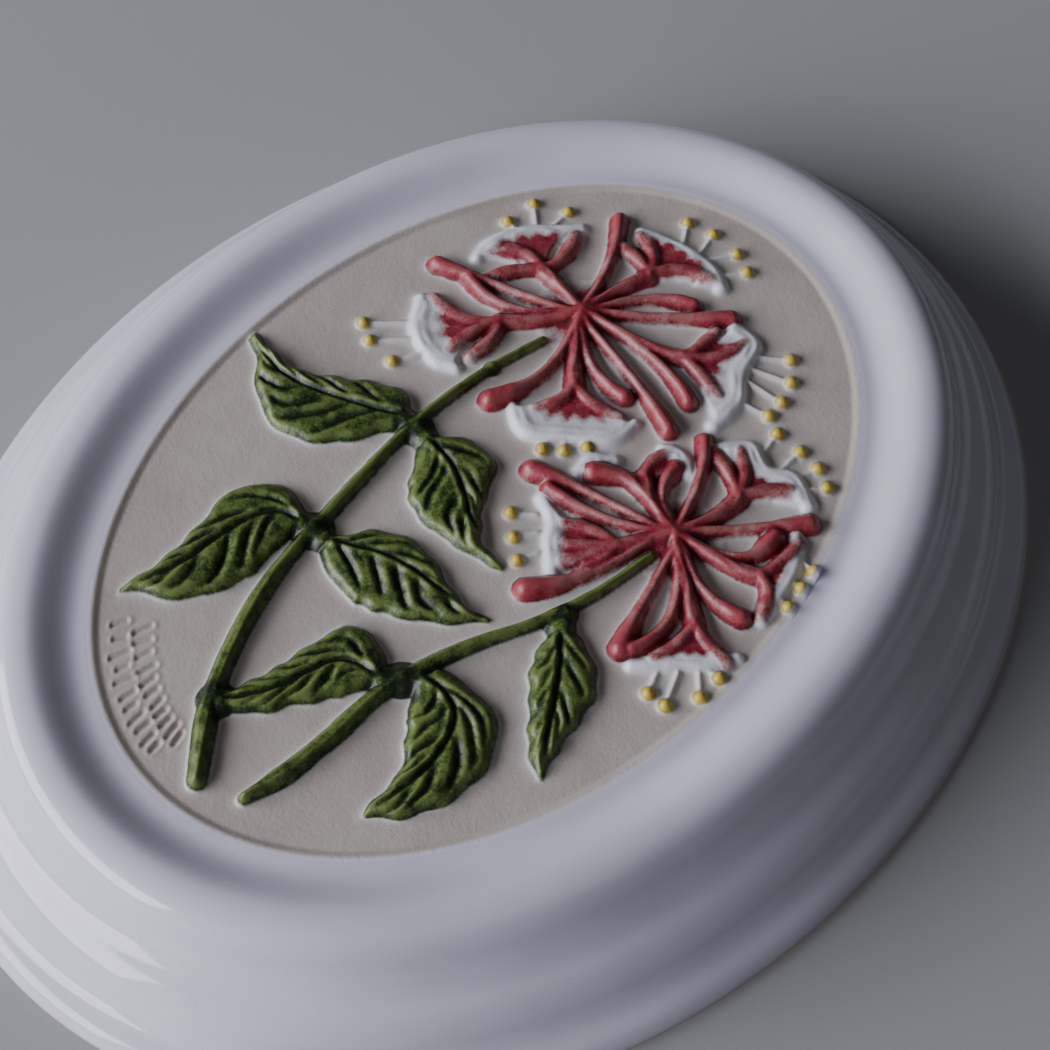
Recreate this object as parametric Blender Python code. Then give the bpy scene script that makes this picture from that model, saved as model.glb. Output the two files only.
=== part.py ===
"""Oval ceramic wall plaque with a honeysuckle spray in relief, modelled in metres.

The plaque is one hollow-backed casting: a flat oval panel, a moulded border round it, and the spray
standing up from the panel. It hangs upright, its front facing -Y, its flat back rim in the plane Y=0.
The origin is on the middle of the back rim at the top, where the rim lies against the wall.

Places on the panel are given in millimetres from the panel's middle, x to the right and y up as seen
from the front. Heights are in millimetres above the back plane.
"""
import math

import bmesh
import bpy
from mathutils import Vector

MM = 0.001

# Driving dimensions of the casting, in millimetres
PANEL_HALF_WIDTH = 63.5
PANEL_HALF_HEIGHT = 89.0
BORDER_WIDTH = 36.5
PANEL_FACE = 24.5
PANEL_THICKNESS = 7.0
BORDER_WALL = 6.5
BACK_RIM_WIDTH = 8.0
HOLLOW_PANEL_EDGE = 5.0

# Inner half of the moulding: distances outward from the panel's edge, heights from the panel's face
BEAD_START = -2.6
BEAD_TOP = -0.6
BEAD_RISE = 0.8
GROOVE_AT = 2.4
GROOVE_DEPTH = 0.6
CREST_AT = 11.5
CREST_RISE = 3.6
CREST_CORNER = 17.3
CREST_FOOT_AT = 18.8
CREST_FOOT_DROP = 1.9

# Outer half of the moulding: distances inward from the border's outer edge, heights above the back plane
UPPER_COVE_CORNER = (16.3, 17.6)
UPPER_ROLL_START = (12.5, 15.3)
UPPER_ROLL_CORNER = (8.3, 12.8)
UPPER_ROLL_FOOT = (7.3, 8.6)
LOWER_COVE_CORNER = (6.3, 5.8)
LOWER_ROLL_START = (3.5, 4.6)
LOWER_ROLL_CORNER_HEIGHT = 3.2

RING_SIDES = 52
SHARP_CORNER = math.radians(50)

# The spray below is laid out on an oval of this half width and half height, and grows with the panel
LAYOUT_HALF_WIDTH = 63.5
LAYOUT_HALF_HEIGHT = 89.0

# Relief heights above the panel and how deep each form is rooted in it. Of the strands that cross in a
# flower head, each later one stands a little higher and is rooted a little deeper
ROOT_DEPTH = 1.5
LAYER_RISE = 0.03
LAYER_ROOT = 0.02
STEM_RISE = 2.6
LEAF_RISE = 2.4
LEAF_EDGE_RISE = 1.0
LEAF_VEIN_DEPTH = 0.45
TUBE_RISE = 2.6
KNOB_RISE = 3.0
LIP_RISE = 1.0
ANTHER_RISE = 1.1
ANTHER_RADIUS = 1.25
ANTHER_SIDES = 5
HEART_RISE = 3.4
HEART_RADIUS = 5.5
HEART_SIDES = 8
DOME_SHOULDER = (1.0, 0.45)
DOME_TOP = (0.6, 0.9)

# Arched tops of the strands, as shares of the half width and of the rise
ROUND_ARCH = ((-0.95, 0.45), (-0.45, 0.92), (0.45, 0.92), (0.95, 0.45))
FLAT_ARCH = ((-0.8, 1.0), (0.8, 1.0))

# Stems: points along the middle, with the width at the foot and at the tip
STEM_FOOT_WIDTH = 4.8
STEM_TIP_WIDTH = 2.4
STEM_STEPS = 2
LEFT_STEM = ((1.5, -82), (-7.5, -68), (-14.5, -54), (-18, -38), (-19.2, -26), (-21, -6), (-20, 12), (-15, 35))
RIGHT_STEM = ((10.5, -79), (13.5, -64), (14.2, -48), (18.5, -34), (27, -18), (32, -3), (34, 8.5))

# Leaves: base, middle of the midrib and tip, then for the left and the right side, going from base to
# tip, the greatest half width and how far along the midrib it lies
LEAVES = {
    "upper left leaf": ((-21, 2), (-41, -3.5), (-61, -2.5), (12.5, 0.48), (7.5, 0.25)),
    "upper right leaf": ((-18, 2), (-2.5, -2.8), (15, -11.8), (9.0, 0.34), (9.5, 0.40)),
    "middle left leaf": ((-20, -29), (-30, -38), (-38.5, -63), (10.0, 0.58), (8.5, 0.36)),
    "middle right leaf": ((-17, -30), (0, -24.5), (19.5, -22), (6.5, 0.34), (11.5, 0.48)),
    "lower left leaf": ((13.5, -44), (3.5, -48.5), (-4.5, -67), (6.5, 0.55), (7.5, 0.40)),
    "lower right leaf": ((17.5, -40.5), (29.5, -45.5), (29, -68), (9.5, 0.55), (7.0, 0.38)),
    "outer right leaf": ((30, -14.5), (38.5, -24.5), (48, -41.5), (7.5, 0.44), (5.5, 0.40)),
}
LEAF_BASE_FULLNESS = 0.65
LEAF_TIP_FULLNESS = 0.75
LEAF_ROWS = 10
LEAF_VEIN_SLANT = 0.10
LEAF_FOLD = 0.55

# Flower heads. A bud widens from its start to its neck and its knob. A trumpet widens to its throat, and
# its lobes start inside it, set back by a share of the way to its bend. Ends are shares of the full size
TUBE_START_WIDTH = 2.2
TUBE_NECK_WIDTH = 2.4
KNOB_WIDTH = 3.8
KNOB_END_WIDTH = 0.6
KNOB_END_RISE = 0.7
KNOB_REACH = 0.3
BUD_STEPS = 5
THROAT_WIDTH = 4.2
THROAT_SETBACK = 0.13
TUBE_STEPS = 3
LOBE_WIDTH = 3.6
LOBE_WIDTH_SHARES = (0.8, 0.8, 1.0, 0.6)
LOBE_RISE_SHARES = (0.9, 0.8, 0.75, 0.5)
LIP_WIDTH = 4.6
LIP_END_WIDTH = 0.6

# Each bud is a start, a bend, an end and the size of its knob
LEFT_HEART = (-13.5, 45.5)
LEFT_BUDS = (
    ((-16, 43), (-30, 40), (-43.5, 36.5), 1.15),
    ((-17, 42), (-26, 33.5), (-36, 37), 1.0),
    ((-14.5, 48), (-16, 60), (-22.8, 69), 1.0),
    ((-9, 49), (-1, 54), (10, 63.5), 1.2),
    ((-10, 50), (-6.5, 59), (2.5, 61.5), 1.0),
    ((-8, 46), (6, 47.5), (16.5, 42), 1.0),
    ((-9, 43), (6, 39.5), (17.5, 34.5), 1.1),
    ((-10, 42), (-3, 33.5), (6, 34.5), 1.0),
    ((-12, 41), (-6.5, 28), (-13, 17.5), 1.45),
)
# Each trumpet is a start, a bend and a throat, the lobes that part there, and the lip beyond them
LEFT_TRUMPETS = (
    (((-12.5, 49), (-11.5, 57), (-9, 62)),
     (((-10.5, 68), (-17, 69.3)), ((-7, 69), (1, 69.5)), ((-13, 65), (-19, 64.5))),
     ((-18, 70.5), (-9, 72.5), (0, 72), (4, 69.5))),
    (((-9, 46.5), (2, 46.5), (9, 50)),
     (((11, 53), (10.5, 59.5)), ((16, 53), (16.5, 61)), ((14, 49.5), (20.5, 47))),
     ((12.5, 63), (18.5, 62), (20.5, 54.5), (24.5, 48.5), (24, 41))),
    (((-16, 46.5), (-22, 48.5), (-27, 49)),
     (((-24, 54), (-27.5, 60.5)), ((-33, 52), (-37.5, 47)), ((-31, 46), (-34, 41))),
     ((-28, 63), (-34.5, 57), (-39.5, 50), (-39.5, 43))),
    (((-17, 40.5), (-21, 36), (-25, 33)),
     (((-30, 26.5), (-39, 29)), ((-28.5, 27), (-27.5, 20.5)), ((-22, 30), (-23.5, 22.5))),
     ((-41, 27.5), (-37, 21), (-30, 17.5), (-24, 18.5))),
    (((-11, 41), (-7, 35), (-3, 30.5)),
     (((-1.5, 25.5), (-5, 21)), ((3, 28), (9, 30))),
     ((-9, 18.5), (-3, 15.5), (5, 20.5), (11, 25), (12, 31))),
)
LEFT_ANTHERS = (
    (-12, 79), (-6, 80), (1, 79), (5.5, 76.5),
    (26, 64), (29.5, 59.5), (31, 54.3), (31, 50),
    (-33, 65), (-40, 62), (-41, 54.8),
    (-46, 15), (-42, 12.5), (-35, 11.5),
    (8.5, 20.5), (5.5, 17), (2, 14.5),
)

RIGHT_HEART = (34.5, 15)
RIGHT_BUDS = (
    ((33.5, 19), (31, 30), (25.5, 36), 1.0),
    ((37, 19), (45, 26), (52, 33.5), 1.25),
    ((38, 16.5), (51, 17), (49.5, 26.5), 1.3),
    ((39, 12.5), (46, 6.5), (54.5, 8.8), 1.2),
    ((37, 10.5), (39, 1), (42, -10.5), 1.25),
    ((41, 9), (49.5, 0), (44.5, -9.5), 0.8),
    ((29, 13.5), (17, 13), (4.5, 9.5), 1.4),
    ((28, 11), (19, 7.5), (10, 7.8), 1.0),
    ((30, 16.5), (20, 22), (14, 17), 1.45),
    ((31, 9), (29, -4), (21, -12), 1.35),
    ((31, 17.5), (25, 20), (25, 27), 1.1),
)
RIGHT_TRUMPETS = (
    (((36, 18.5), (39, 25), (38.5, 30)),
     (((33, 35), (26.5, 35.5)), ((37, 36), (32, 39)), ((40, 34), (45, 38))),
     ((28.5, 37.5), (33, 41.5), (38.5, 38.8), (44, 41), (50, 37.5))),
    (((31, 11), (27, 7.5), (24, 4.5)),
     (((20, 6), (17.5, 3.5)), ((21.5, 1.5), (20, -2)), ((25, 1), (24.5, -2.5))),
     ((9.5, 5.5), (14.5, 2.5), (17.5, -2), (22, -6.5))),
    (((39, 15.5), (47, 16), (52.5, 18.5)),
     (((54.5, 24), (53.5, 29)), ((57, 17), (58, 11.5))),
     ((53, 31.5), (57.5, 28), (59.7, 21), (60, 10.5))),
    (((41, 11), (46, 5), (49.5, 2)),
     (((54, -0.5), (59, -0.5)), ((50.5, -3), (48.5, -9))),
     ((60, 1.5), (56.5, -3), (51, -8), (46, -12.5))),
    (((30, 17), (25, 18.5), (21.5, 22)),
     (((20.5, 25), (21, 28.5)),),
     ((20, 30), (24, 31), (28, 28.5))),
)
RIGHT_ANTHERS = (
    (35, 47.5), (41, 47), (46, 46), (50, 43.5),
    (59.5, 26), (59.7, 21.5), (60.3, 16.5),
    (7, -1), (11, -5), (15, -8.5),
    (60, -4), (59.8, -9.5), (52, -15), (56, -15),
)

# Pressed strokes along the panel's lower left edge
STROKE_WIDTH = 0.9
STROKE_DEPTH = 0.5
STROKE_HEIGHT = 3.4
STROKE_ROWS = (3.4, 7.8)
STROKES_PER_ROW = 11
STROKE_FIRST_ANGLE = 224.0
STROKE_LAST_ANGLE = 260.0
STROKE_LEAN = 14.0
STROKE_BED = 0.67

# Glaze
GLAZE_COLOUR = (0.80, 0.79, 0.77, 1.0)
GLAZE_ROUGHNESS = 0.18

RIM_MIDDLE_ABOVE_CENTRE = PANEL_HALF_HEIGHT + BORDER_WIDTH - BACK_RIM_WIDTH / 2


def place(x, y, height):
    """World position of a point given on the panel in millimetres."""
    return Vector((x, -height, y - RIM_MIDDLE_ABOVE_CENTRE)) * MM


def bend(start, corner, end, steps):
    """Points of a curve that leaves start and reaches end along the lines to corner."""
    points = []
    for index in range(1, steps + 1):
        t = index / steps
        points.append(tuple(
            (1 - t) ** 2 * a + 2 * t * (1 - t) * b + t ** 2 * c
            for a, b, c in zip(start, corner, end)))
    return points


def swell(start, end, steps):
    """Points of an S-shaped rise or fall that is level at both ends."""
    points = []
    for index in range(1, steps + 1):
        t = index / steps
        ease = (1 - math.cos(math.pi * t)) / 2
        points.append((start[0] + (end[0] - start[0]) * t, start[1] + (end[1] - start[1]) * ease))
    return points


def from_outer_edge(spot):
    """Turn a distance inward from the border's outer edge into one outward from the panel's edge."""
    return BORDER_WIDTH - spot[0], spot[1]


CREST = (CREST_AT, PANEL_FACE + CREST_RISE)
CREST_FOOT = (CREST_FOOT_AT, PANEL_FACE - CREST_FOOT_DROP)


def front_profile():
    """Cross-section of the border from the flat panel out to the back rim's outer edge."""
    edge = (BEAD_START, PANEL_FACE)
    bead = (BEAD_TOP, PANEL_FACE + BEAD_RISE)
    groove = (GROOVE_AT, PANEL_FACE - GROOVE_DEPTH)
    upper_start = from_outer_edge(UPPER_ROLL_START)
    upper_foot = from_outer_edge(UPPER_ROLL_FOOT)
    lower_start = from_outer_edge(LOWER_ROLL_START)
    points = [edge]
    points += swell(edge, bead, 1)
    points += swell(bead, groove, 2)
    points += swell(groove, CREST, 4)
    points += bend(CREST, (CREST_CORNER, CREST[1]), CREST_FOOT, 4)
    points += bend(CREST_FOOT, from_outer_edge(UPPER_COVE_CORNER), upper_start, 3)
    points += bend(upper_start, from_outer_edge(UPPER_ROLL_CORNER), upper_foot, 3)
    points += bend(upper_foot, from_outer_edge(LOWER_COVE_CORNER), lower_start, 2)
    points += bend(lower_start, (BORDER_WIDTH, LOWER_ROLL_CORNER_HEIGHT), (BORDER_WIDTH, 0.0), 3)
    return points


def back_profile():
    """Cross-section of the hollow back, which follows the moulding at the thickness of the wall."""
    points = [(BORDER_WIDTH - BACK_RIM_WIDTH, 0.0)]
    inset = BORDER_WALL * math.sqrt(0.5)
    for spot in (from_outer_edge(UPPER_ROLL_FOOT), from_outer_edge(UPPER_ROLL_START), CREST_FOOT):
        points.append((spot[0] - inset, spot[1] - inset))
    points.append((CREST[0], CREST[1] - BORDER_WALL))
    points.append((HOLLOW_PANEL_EDGE, PANEL_FACE - PANEL_THICKNESS))
    return points


def oval_point(angle, outward):
    """Point a set distance outside the panel's oval, where the oval faces the given angle."""
    facing_x = math.cos(angle)
    facing_y = math.sin(angle)
    reach = math.hypot(PANEL_HALF_WIDTH * facing_x, PANEL_HALF_HEIGHT * facing_y)
    x = PANEL_HALF_WIDTH ** 2 * facing_x / reach + outward * facing_x
    y = PANEL_HALF_HEIGHT ** 2 * facing_y / reach + outward * facing_y
    return x, y


def add_ring(mesh, outward, height):
    """Add one oval ring of vertices."""
    ring = []
    for side in range(RING_SIDES):
        x, y = oval_point(2 * math.pi * side / RING_SIDES, outward)
        ring.append(mesh.verts.new(place(x, y, height)))
    return ring


def join_rings(mesh, first, second):
    """Close the strip between two rings of the same count."""
    count = len(first)
    for index in range(count):
        following = (index + 1) % count
        mesh.faces.new((first[index], first[following], second[following], second[index]))


def finish_object(name, mesh, material=None):
    """Turn a bmesh into an object with all its faces pointing out."""
    bmesh.ops.recalc_face_normals(mesh, faces=mesh.faces)
    data = bpy.data.meshes.new(name)
    mesh.to_mesh(data)
    mesh.free()
    if material:
        data.materials.append(material)
    return bpy.data.objects.new(name, data)


def build_casting(material):
    """The bare plaque: panel, moulded border and hollow back. Its flat faces are shaded flat."""
    mesh = bmesh.new()
    rings = [add_ring(mesh, outward, height) for outward, height in front_profile() + back_profile()]
    for inner, outer in zip(rings, rings[1:]):
        join_rings(mesh, inner, outer)
    for face in mesh.faces:
        face.smooth = any(vertex.co.y != 0 for vertex in face.verts)
    mesh.faces.new(rings[0])
    mesh.faces.new(list(reversed(rings[-1])))
    plaque = finish_object("plaque", mesh, material)
    plaque.data.set_sharp_from_angle(angle=SHARP_CORNER)
    return plaque


def on_panel(spot):
    """Place of a layout point on the panel."""
    across = PANEL_HALF_WIDTH / LAYOUT_HALF_WIDTH
    up = PANEL_HALF_HEIGHT / LAYOUT_HALF_HEIGHT
    return Vector((spot[0] * across, spot[1] * up))


def smooth_path(points, steps):
    """Evenly spaced points on a smooth curve through the given ones."""
    placed = [on_panel(point) for point in points]
    padded = [placed[0], *placed, placed[-1]]
    path = [placed[0]]
    for index in range(len(placed) - 1):
        before, start, end, after = padded[index:index + 4]
        for step in range(1, steps + 1):
            t = step / steps
            path.append(0.5 * (
                2 * start + (end - before) * t + (2 * before - 5 * start + 4 * end - after) * t ** 2
                + (3 * start - before - 3 * end + after) * t ** 3))
    return path


def bent_path(start, corner, end, steps):
    """Points of a simple bend, its start included."""
    return [on_panel(start)] + [on_panel(point) for point in bend(start, corner, end, steps)]


def across_directions(path):
    """Unit vectors square to a path, to its left."""
    directions = []
    for index in range(len(path)):
        along = path[min(index + 1, len(path) - 1)] - path[max(index - 1, 0)]
        directions.append(Vector((-along.y, along.x)).normalized())
    return directions


def build_strand(name, path, widths, rises, layer, arch=ROUND_ARCH):
    """A raised strand with an arched top and straight sides rooted in the panel."""
    mesh = bmesh.new()
    sections = []
    root = ROOT_DEPTH + LAYER_ROOT * layer
    for point, across, width, rise in zip(path, across_directions(path), widths, rises):
        top = rise + LAYER_RISE * layer
        section = []
        for side, share in ((-1.0, None), *arch, (1.0, None)):
            spot = point + across * side * width / 2
            height = -root if share is None else share * top
            section.append(mesh.verts.new(place(spot.x, spot.y, PANEL_FACE + height)))
        sections.append(section)
    for first, second in zip(sections, sections[1:]):
        join_rings(mesh, first, second)
    mesh.faces.new(sections[0])
    mesh.faces.new(list(reversed(sections[-1])))
    return finish_object(name, mesh)


def build_stem(name, points, layer):
    """A stem that narrows from its cut foot to its flower."""
    path = smooth_path(points, STEM_STEPS)
    taper = (STEM_TIP_WIDTH - STEM_FOOT_WIDTH) / (len(path) - 1)
    widths = [STEM_FOOT_WIDTH + taper * index for index in range(len(path))]
    return build_strand(name, path, widths, [STEM_RISE] * len(path), layer)


def leaf_width(t, widest, belly):
    """Half width of one side of a leaf along its midrib: full at the base, drawn out at the tip."""
    if t < belly:
        return widest * math.sin(math.pi / 2 * t / belly) ** LEAF_BASE_FULLNESS
    return widest * ((1 + math.cos(math.pi * (t - belly) / (1 - belly))) / 2) ** LEAF_TIP_FULLNESS


def build_leaf(name, base, middle, tip, left, right):
    """A leaf with a sunk midrib and slanting veins, rooted in the panel."""
    corner = tuple(2 * m - (b + t) / 2 for b, m, t in zip(base, middle, tip))
    rows = bent_path(base, corner, tip, LEAF_ROWS)
    across = across_directions(rows)
    mesh = bmesh.new()
    sections = []
    for index in range(1, LEAF_ROWS):
        t = index / LEAF_ROWS
        midrib = LEAF_RISE - LEAF_VEIN_DEPTH
        fold = LEAF_RISE - LEAF_VEIN_DEPTH * (index % 2)
        section = []
        for side, rise in ((-1.0, LEAF_EDGE_RISE), (-LEAF_FOLD, fold), (0.0, midrib), (LEAF_FOLD, fold),
                           (1.0, LEAF_EDGE_RISE)):
            slant = min(index + abs(side) * LEAF_VEIN_SLANT * LEAF_ROWS, LEAF_ROWS)
            low = int(slant)
            high = min(low + 1, LEAF_ROWS)
            root = rows[low].lerp(rows[high], slant - low)
            half = leaf_width(t, *(left if side < 0 else right))
            section.append((root - across[index] * side * half, rise))
        sections.append(section)
    tops = [[mesh.verts.new(place(s.x, s.y, PANEL_FACE + h)) for s, h in section] for section in sections]
    strips = range(len(tops[0]) - 1)
    for first, second in zip(tops, tops[1:]):
        for index in strips:
            mesh.faces.new((first[index], first[index + 1], second[index + 1], second[index]))
    start = mesh.verts.new(place(rows[0].x, rows[0].y, PANEL_FACE + LEAF_EDGE_RISE))
    end = mesh.verts.new(place(rows[-1].x, rows[-1].y, PANEL_FACE + LEAF_EDGE_RISE))
    for index in strips:
        mesh.faces.new((start, tops[0][index], tops[0][index + 1]))
        mesh.faces.new((end, tops[-1][index + 1], tops[-1][index]))
    rim = [start] + [row[0] for row in tops] + [end] + [row[-1] for row in reversed(tops)]
    foot = []
    for vertex in rim:
        root = vertex.co.copy()
        root.y = -(PANEL_FACE - ROOT_DEPTH) * MM
        foot.append(mesh.verts.new(root))
    join_rings(mesh, rim, foot)
    mesh.faces.new(foot)
    return finish_object(name, mesh)


def build_bud(name, layer, start, corner, end, knob):
    """A slender tube that ends in a rounded knob."""
    path = bent_path(start, corner, end, BUD_STEPS)
    swollen = KNOB_WIDTH * knob
    path[-1] += (path[-1] - path[-2]).normalized() * swollen * KNOB_REACH
    neck = BUD_STEPS - 2
    widths = [TUBE_START_WIDTH] + [TUBE_NECK_WIDTH] * neck + [swollen, swollen * KNOB_END_WIDTH]
    rises = [TUBE_RISE] * (neck + 1) + [KNOB_RISE, KNOB_RISE * KNOB_END_RISE]
    return build_strand(name, path, widths, rises, layer)


def build_trumpet(name, layer, tube, lobes, lip):
    """A flower's tube, the lobes that part at its throat and the thin lip beyond them."""
    forms = []
    path = bent_path(*tube, TUBE_STEPS)
    flare = (THROAT_WIDTH - TUBE_START_WIDTH) / TUBE_STEPS
    widths = [TUBE_START_WIDTH + flare * step for step in range(len(path))]
    forms.append(build_strand(name + " tube", path, widths, [TUBE_RISE] * len(path), layer))
    fork = tuple(throat + (turn - throat) * THROAT_SETBACK for turn, throat in zip(tube[1], tube[2]))
    for number, (corner, end) in enumerate(lobes, 1):
        path = bent_path(fork, corner, end, len(LOBE_WIDTH_SHARES) - 1)
        widths = [LOBE_WIDTH * share for share in LOBE_WIDTH_SHARES]
        rises = [TUBE_RISE * share for share in LOBE_RISE_SHARES]
        forms.append(build_strand(f"{name} lobe {number}", path, widths, rises, layer + number))
    path = [on_panel(point) for point in lip]
    widths = [LIP_WIDTH * LIP_END_WIDTH] + [LIP_WIDTH] * (len(path) - 2) + [LIP_WIDTH * LIP_END_WIDTH]
    forms.append(build_strand(name + " lip", path, widths, [LIP_RISE] * len(path), layer, FLAT_ARCH))
    return forms


def build_dome(name, spot, radius, rise, sides):
    """A small round dome rooted in the panel."""
    mesh = bmesh.new()
    middle = on_panel(spot)
    foot = (1.0, -ROOT_DEPTH / rise)
    rings = []
    for share, height in (foot, DOME_SHOULDER, DOME_TOP):
        ring = []
        for side in range(sides):
            angle = 2 * math.pi * side / sides
            x = middle.x + radius * share * math.cos(angle)
            y = middle.y + radius * share * math.sin(angle)
            ring.append(mesh.verts.new(place(x, y, PANEL_FACE + height * rise)))
        rings.append(ring)
    for first, second in zip(rings, rings[1:]):
        join_rings(mesh, first, second)
    mesh.faces.new(list(reversed(rings[0])))
    mesh.faces.new(rings[-1])
    return finish_object(name, mesh)


def build_head(side, heart, buds, trumpets, anthers):
    """One flower head: its heart, buds, open trumpets and pollen tips."""
    forms = [build_dome(side + " heart", heart, HEART_RADIUS, HEART_RISE, HEART_SIDES)]
    for number, bud in enumerate(buds, 1):
        forms.append(build_bud(f"{side} bud {number}", len(forms), *bud))
    for number, trumpet in enumerate(trumpets, 1):
        forms += build_trumpet(f"{side} trumpet {number}", len(forms), *trumpet)
    for number, spot in enumerate(anthers, 1):
        forms.append(build_dome(f"{side} anther {number}", spot, ANTHER_RADIUS, ANTHER_RISE, ANTHER_SIDES))
    return forms


def build_strokes():
    """Cutters for rows of shallow strokes that follow the panel's edge."""
    cutters = []
    span = STROKE_LAST_ANGLE - STROKE_FIRST_ANGLE
    for row, inset in enumerate(STROKE_ROWS):
        for number in range(STROKES_PER_ROW):
            angle = math.radians(STROKE_FIRST_ANGLE + span * (number + 0.5 * row) / STROKES_PER_ROW)
            middle = Vector(oval_point(angle, BEAD_START - inset))
            lean = math.radians(STROKE_LEAN * (-1) ** number)
            along = Vector((math.cos(angle + lean), math.sin(angle + lean)))
            across = Vector((-along.y, along.x))
            mesh = bmesh.new()
            top = []
            for end, side in ((-1, -1), (1, -1), (1, 1), (-1, 1)):
                spot = middle + along * end * STROKE_HEIGHT / 2 + across * side * STROKE_WIDTH / 2
                top.append(mesh.verts.new(place(spot.x, spot.y, PANEL_FACE + STROKE_DEPTH)))
            low = []
            for end in (-1, 1):
                spot = middle + along * end * STROKE_HEIGHT / 2 * STROKE_BED
                low.append(mesh.verts.new(place(spot.x, spot.y, PANEL_FACE - STROKE_DEPTH)))
            mesh.faces.new(top)
            mesh.faces.new((top[0], top[1], low[1], low[0]))
            mesh.faces.new((top[2], top[3], low[0], low[1]))
            mesh.faces.new((top[1], top[2], low[1]))
            mesh.faces.new((top[3], top[0], low[0]))
            cutters.append(finish_object(f"stroke {row + 1}.{number + 1}", mesh))
    return cutters


def gather(name, forms):
    """A collection of construction forms that are only shown as wires."""
    group = bpy.data.collections.new(name)
    bpy.context.scene.collection.children.link(group)
    for form in forms:
        form.hide_render = True
        form.display_type = 'WIRE'
        group.objects.link(form)
    return group


def combine(target, group, operation):
    """Add a Boolean of a whole collection to an object."""
    modifier = target.modifiers.new(group.name, 'BOOLEAN')
    modifier.operation = operation
    modifier.operand_type = 'COLLECTION'
    modifier.collection = group
    modifier.solver = 'EXACT'


def glaze_material():
    """White tin-like glaze."""
    material = bpy.data.materials.new("glaze")
    material.use_nodes = True
    shader = material.node_tree.nodes["Principled BSDF"]
    shader.inputs["Base Color"].default_value = GLAZE_COLOUR
    shader.inputs["Roughness"].default_value = GLAZE_ROUGHNESS
    shader.inputs["Metallic"].default_value = 0.0
    return material


def build():
    """Build the whole plaque."""
    for old in list(bpy.data.objects):
        bpy.data.objects.remove(old, do_unlink=True)
    plaque = build_casting(glaze_material())
    bpy.context.scene.collection.objects.link(plaque)
    relief = [build_stem("left stem", LEFT_STEM, 1), build_stem("right stem", RIGHT_STEM, 2)]
    relief += [build_leaf(name, *leaf) for name, leaf in LEAVES.items()]
    relief += build_head("left", LEFT_HEART, LEFT_BUDS, LEFT_TRUMPETS, LEFT_ANTHERS)
    relief += build_head("right", RIGHT_HEART, RIGHT_BUDS, RIGHT_TRUMPETS, RIGHT_ANTHERS)
    combine(plaque, gather("relief forms", relief), 'UNION')
    combine(plaque, gather("pressed strokes", build_strokes()), 'DIFFERENCE')


build()
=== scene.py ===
import math

import bpy
import numpy as np
from mathutils import Matrix, Vector


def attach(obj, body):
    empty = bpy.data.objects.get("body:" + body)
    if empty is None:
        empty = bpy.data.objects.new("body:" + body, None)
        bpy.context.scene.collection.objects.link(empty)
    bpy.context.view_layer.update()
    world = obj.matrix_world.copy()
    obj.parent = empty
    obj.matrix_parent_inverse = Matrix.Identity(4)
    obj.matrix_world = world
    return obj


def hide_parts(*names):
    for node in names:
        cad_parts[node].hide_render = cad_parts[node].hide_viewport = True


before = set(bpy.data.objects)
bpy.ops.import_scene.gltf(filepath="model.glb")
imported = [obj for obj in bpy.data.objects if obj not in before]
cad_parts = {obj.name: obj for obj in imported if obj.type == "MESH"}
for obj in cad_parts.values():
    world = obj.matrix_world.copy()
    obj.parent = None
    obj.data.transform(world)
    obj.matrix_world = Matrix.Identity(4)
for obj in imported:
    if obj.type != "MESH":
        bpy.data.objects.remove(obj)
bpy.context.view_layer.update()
scene = bpy.context.scene

# Units: lengths below are in millimetres unless they say metres, and place() turns them into metres
MM = 0.001

# The casting, as the frame has it
PANEL_HALF_WIDTH = 63.5
PANEL_HALF_HEIGHT = 89.0
BORDER_WIDTH = 36.5
PANEL_FACE = 24.5
PANEL_THICKNESS = 7.0
BORDER_WALL = 6.5
BACK_RIM_WIDTH = 8.0
HOLLOW_PANEL_EDGE = 5.0
ORIGIN_ABOVE_CENTRE = PANEL_HALF_HEIGHT + BORDER_WIDTH - BACK_RIM_WIDTH / 2

# Moulding: inner half outward from the panel's edge, outer half inward from the border's outer edge
STEP_START = -2.6
LEDGE_START = -0.8
LEDGE_RISE = 0.55
LEDGE_END = 1.9
LEDGE_END_RISE = 0.4
CREST_AT = 11.5
CREST_RISE = 3.6
CREST_CORNER = 17.3
CREST_FOOT_AT = 18.8
CREST_FOOT_DROP = 1.9
UPPER_COVE_CORNER = (16.3, 17.6)
UPPER_ROLL_START = (12.5, 15.3)
UPPER_ROLL_CORNER = (8.3, 12.8)
UPPER_ROLL_FOOT = (7.3, 8.6)
LOWER_COVE_CORNER = (6.3, 5.8)
LOWER_ROLL_START = (3.5, 4.6)
LOWER_ROLL_CORNER_HEIGHT = 3.2

# Fineness of the meshes, and where the border runs a little under the panel
CELL = 0.26
BORDER_SIDES = 600
SEAM_OVERLAP = 0.4
SEAM_DROP = 0.04

# Hand-made unevenness: the panel's rows are a height, a seed and a wavelength
WAVES_SUMMED = 7
PANEL_UNEVENNESS = ((0.035, 5, 24.0), (0.02, 6, 7.0))
HAND_WOBBLE = 0.09
WOBBLE_SEED = 11
WOBBLE_LENGTH = 46.0

# Where the cream glaze turns white on the way out to the border
WHITE_START = -1.5
WHITE_EASE = 1.4

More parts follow.
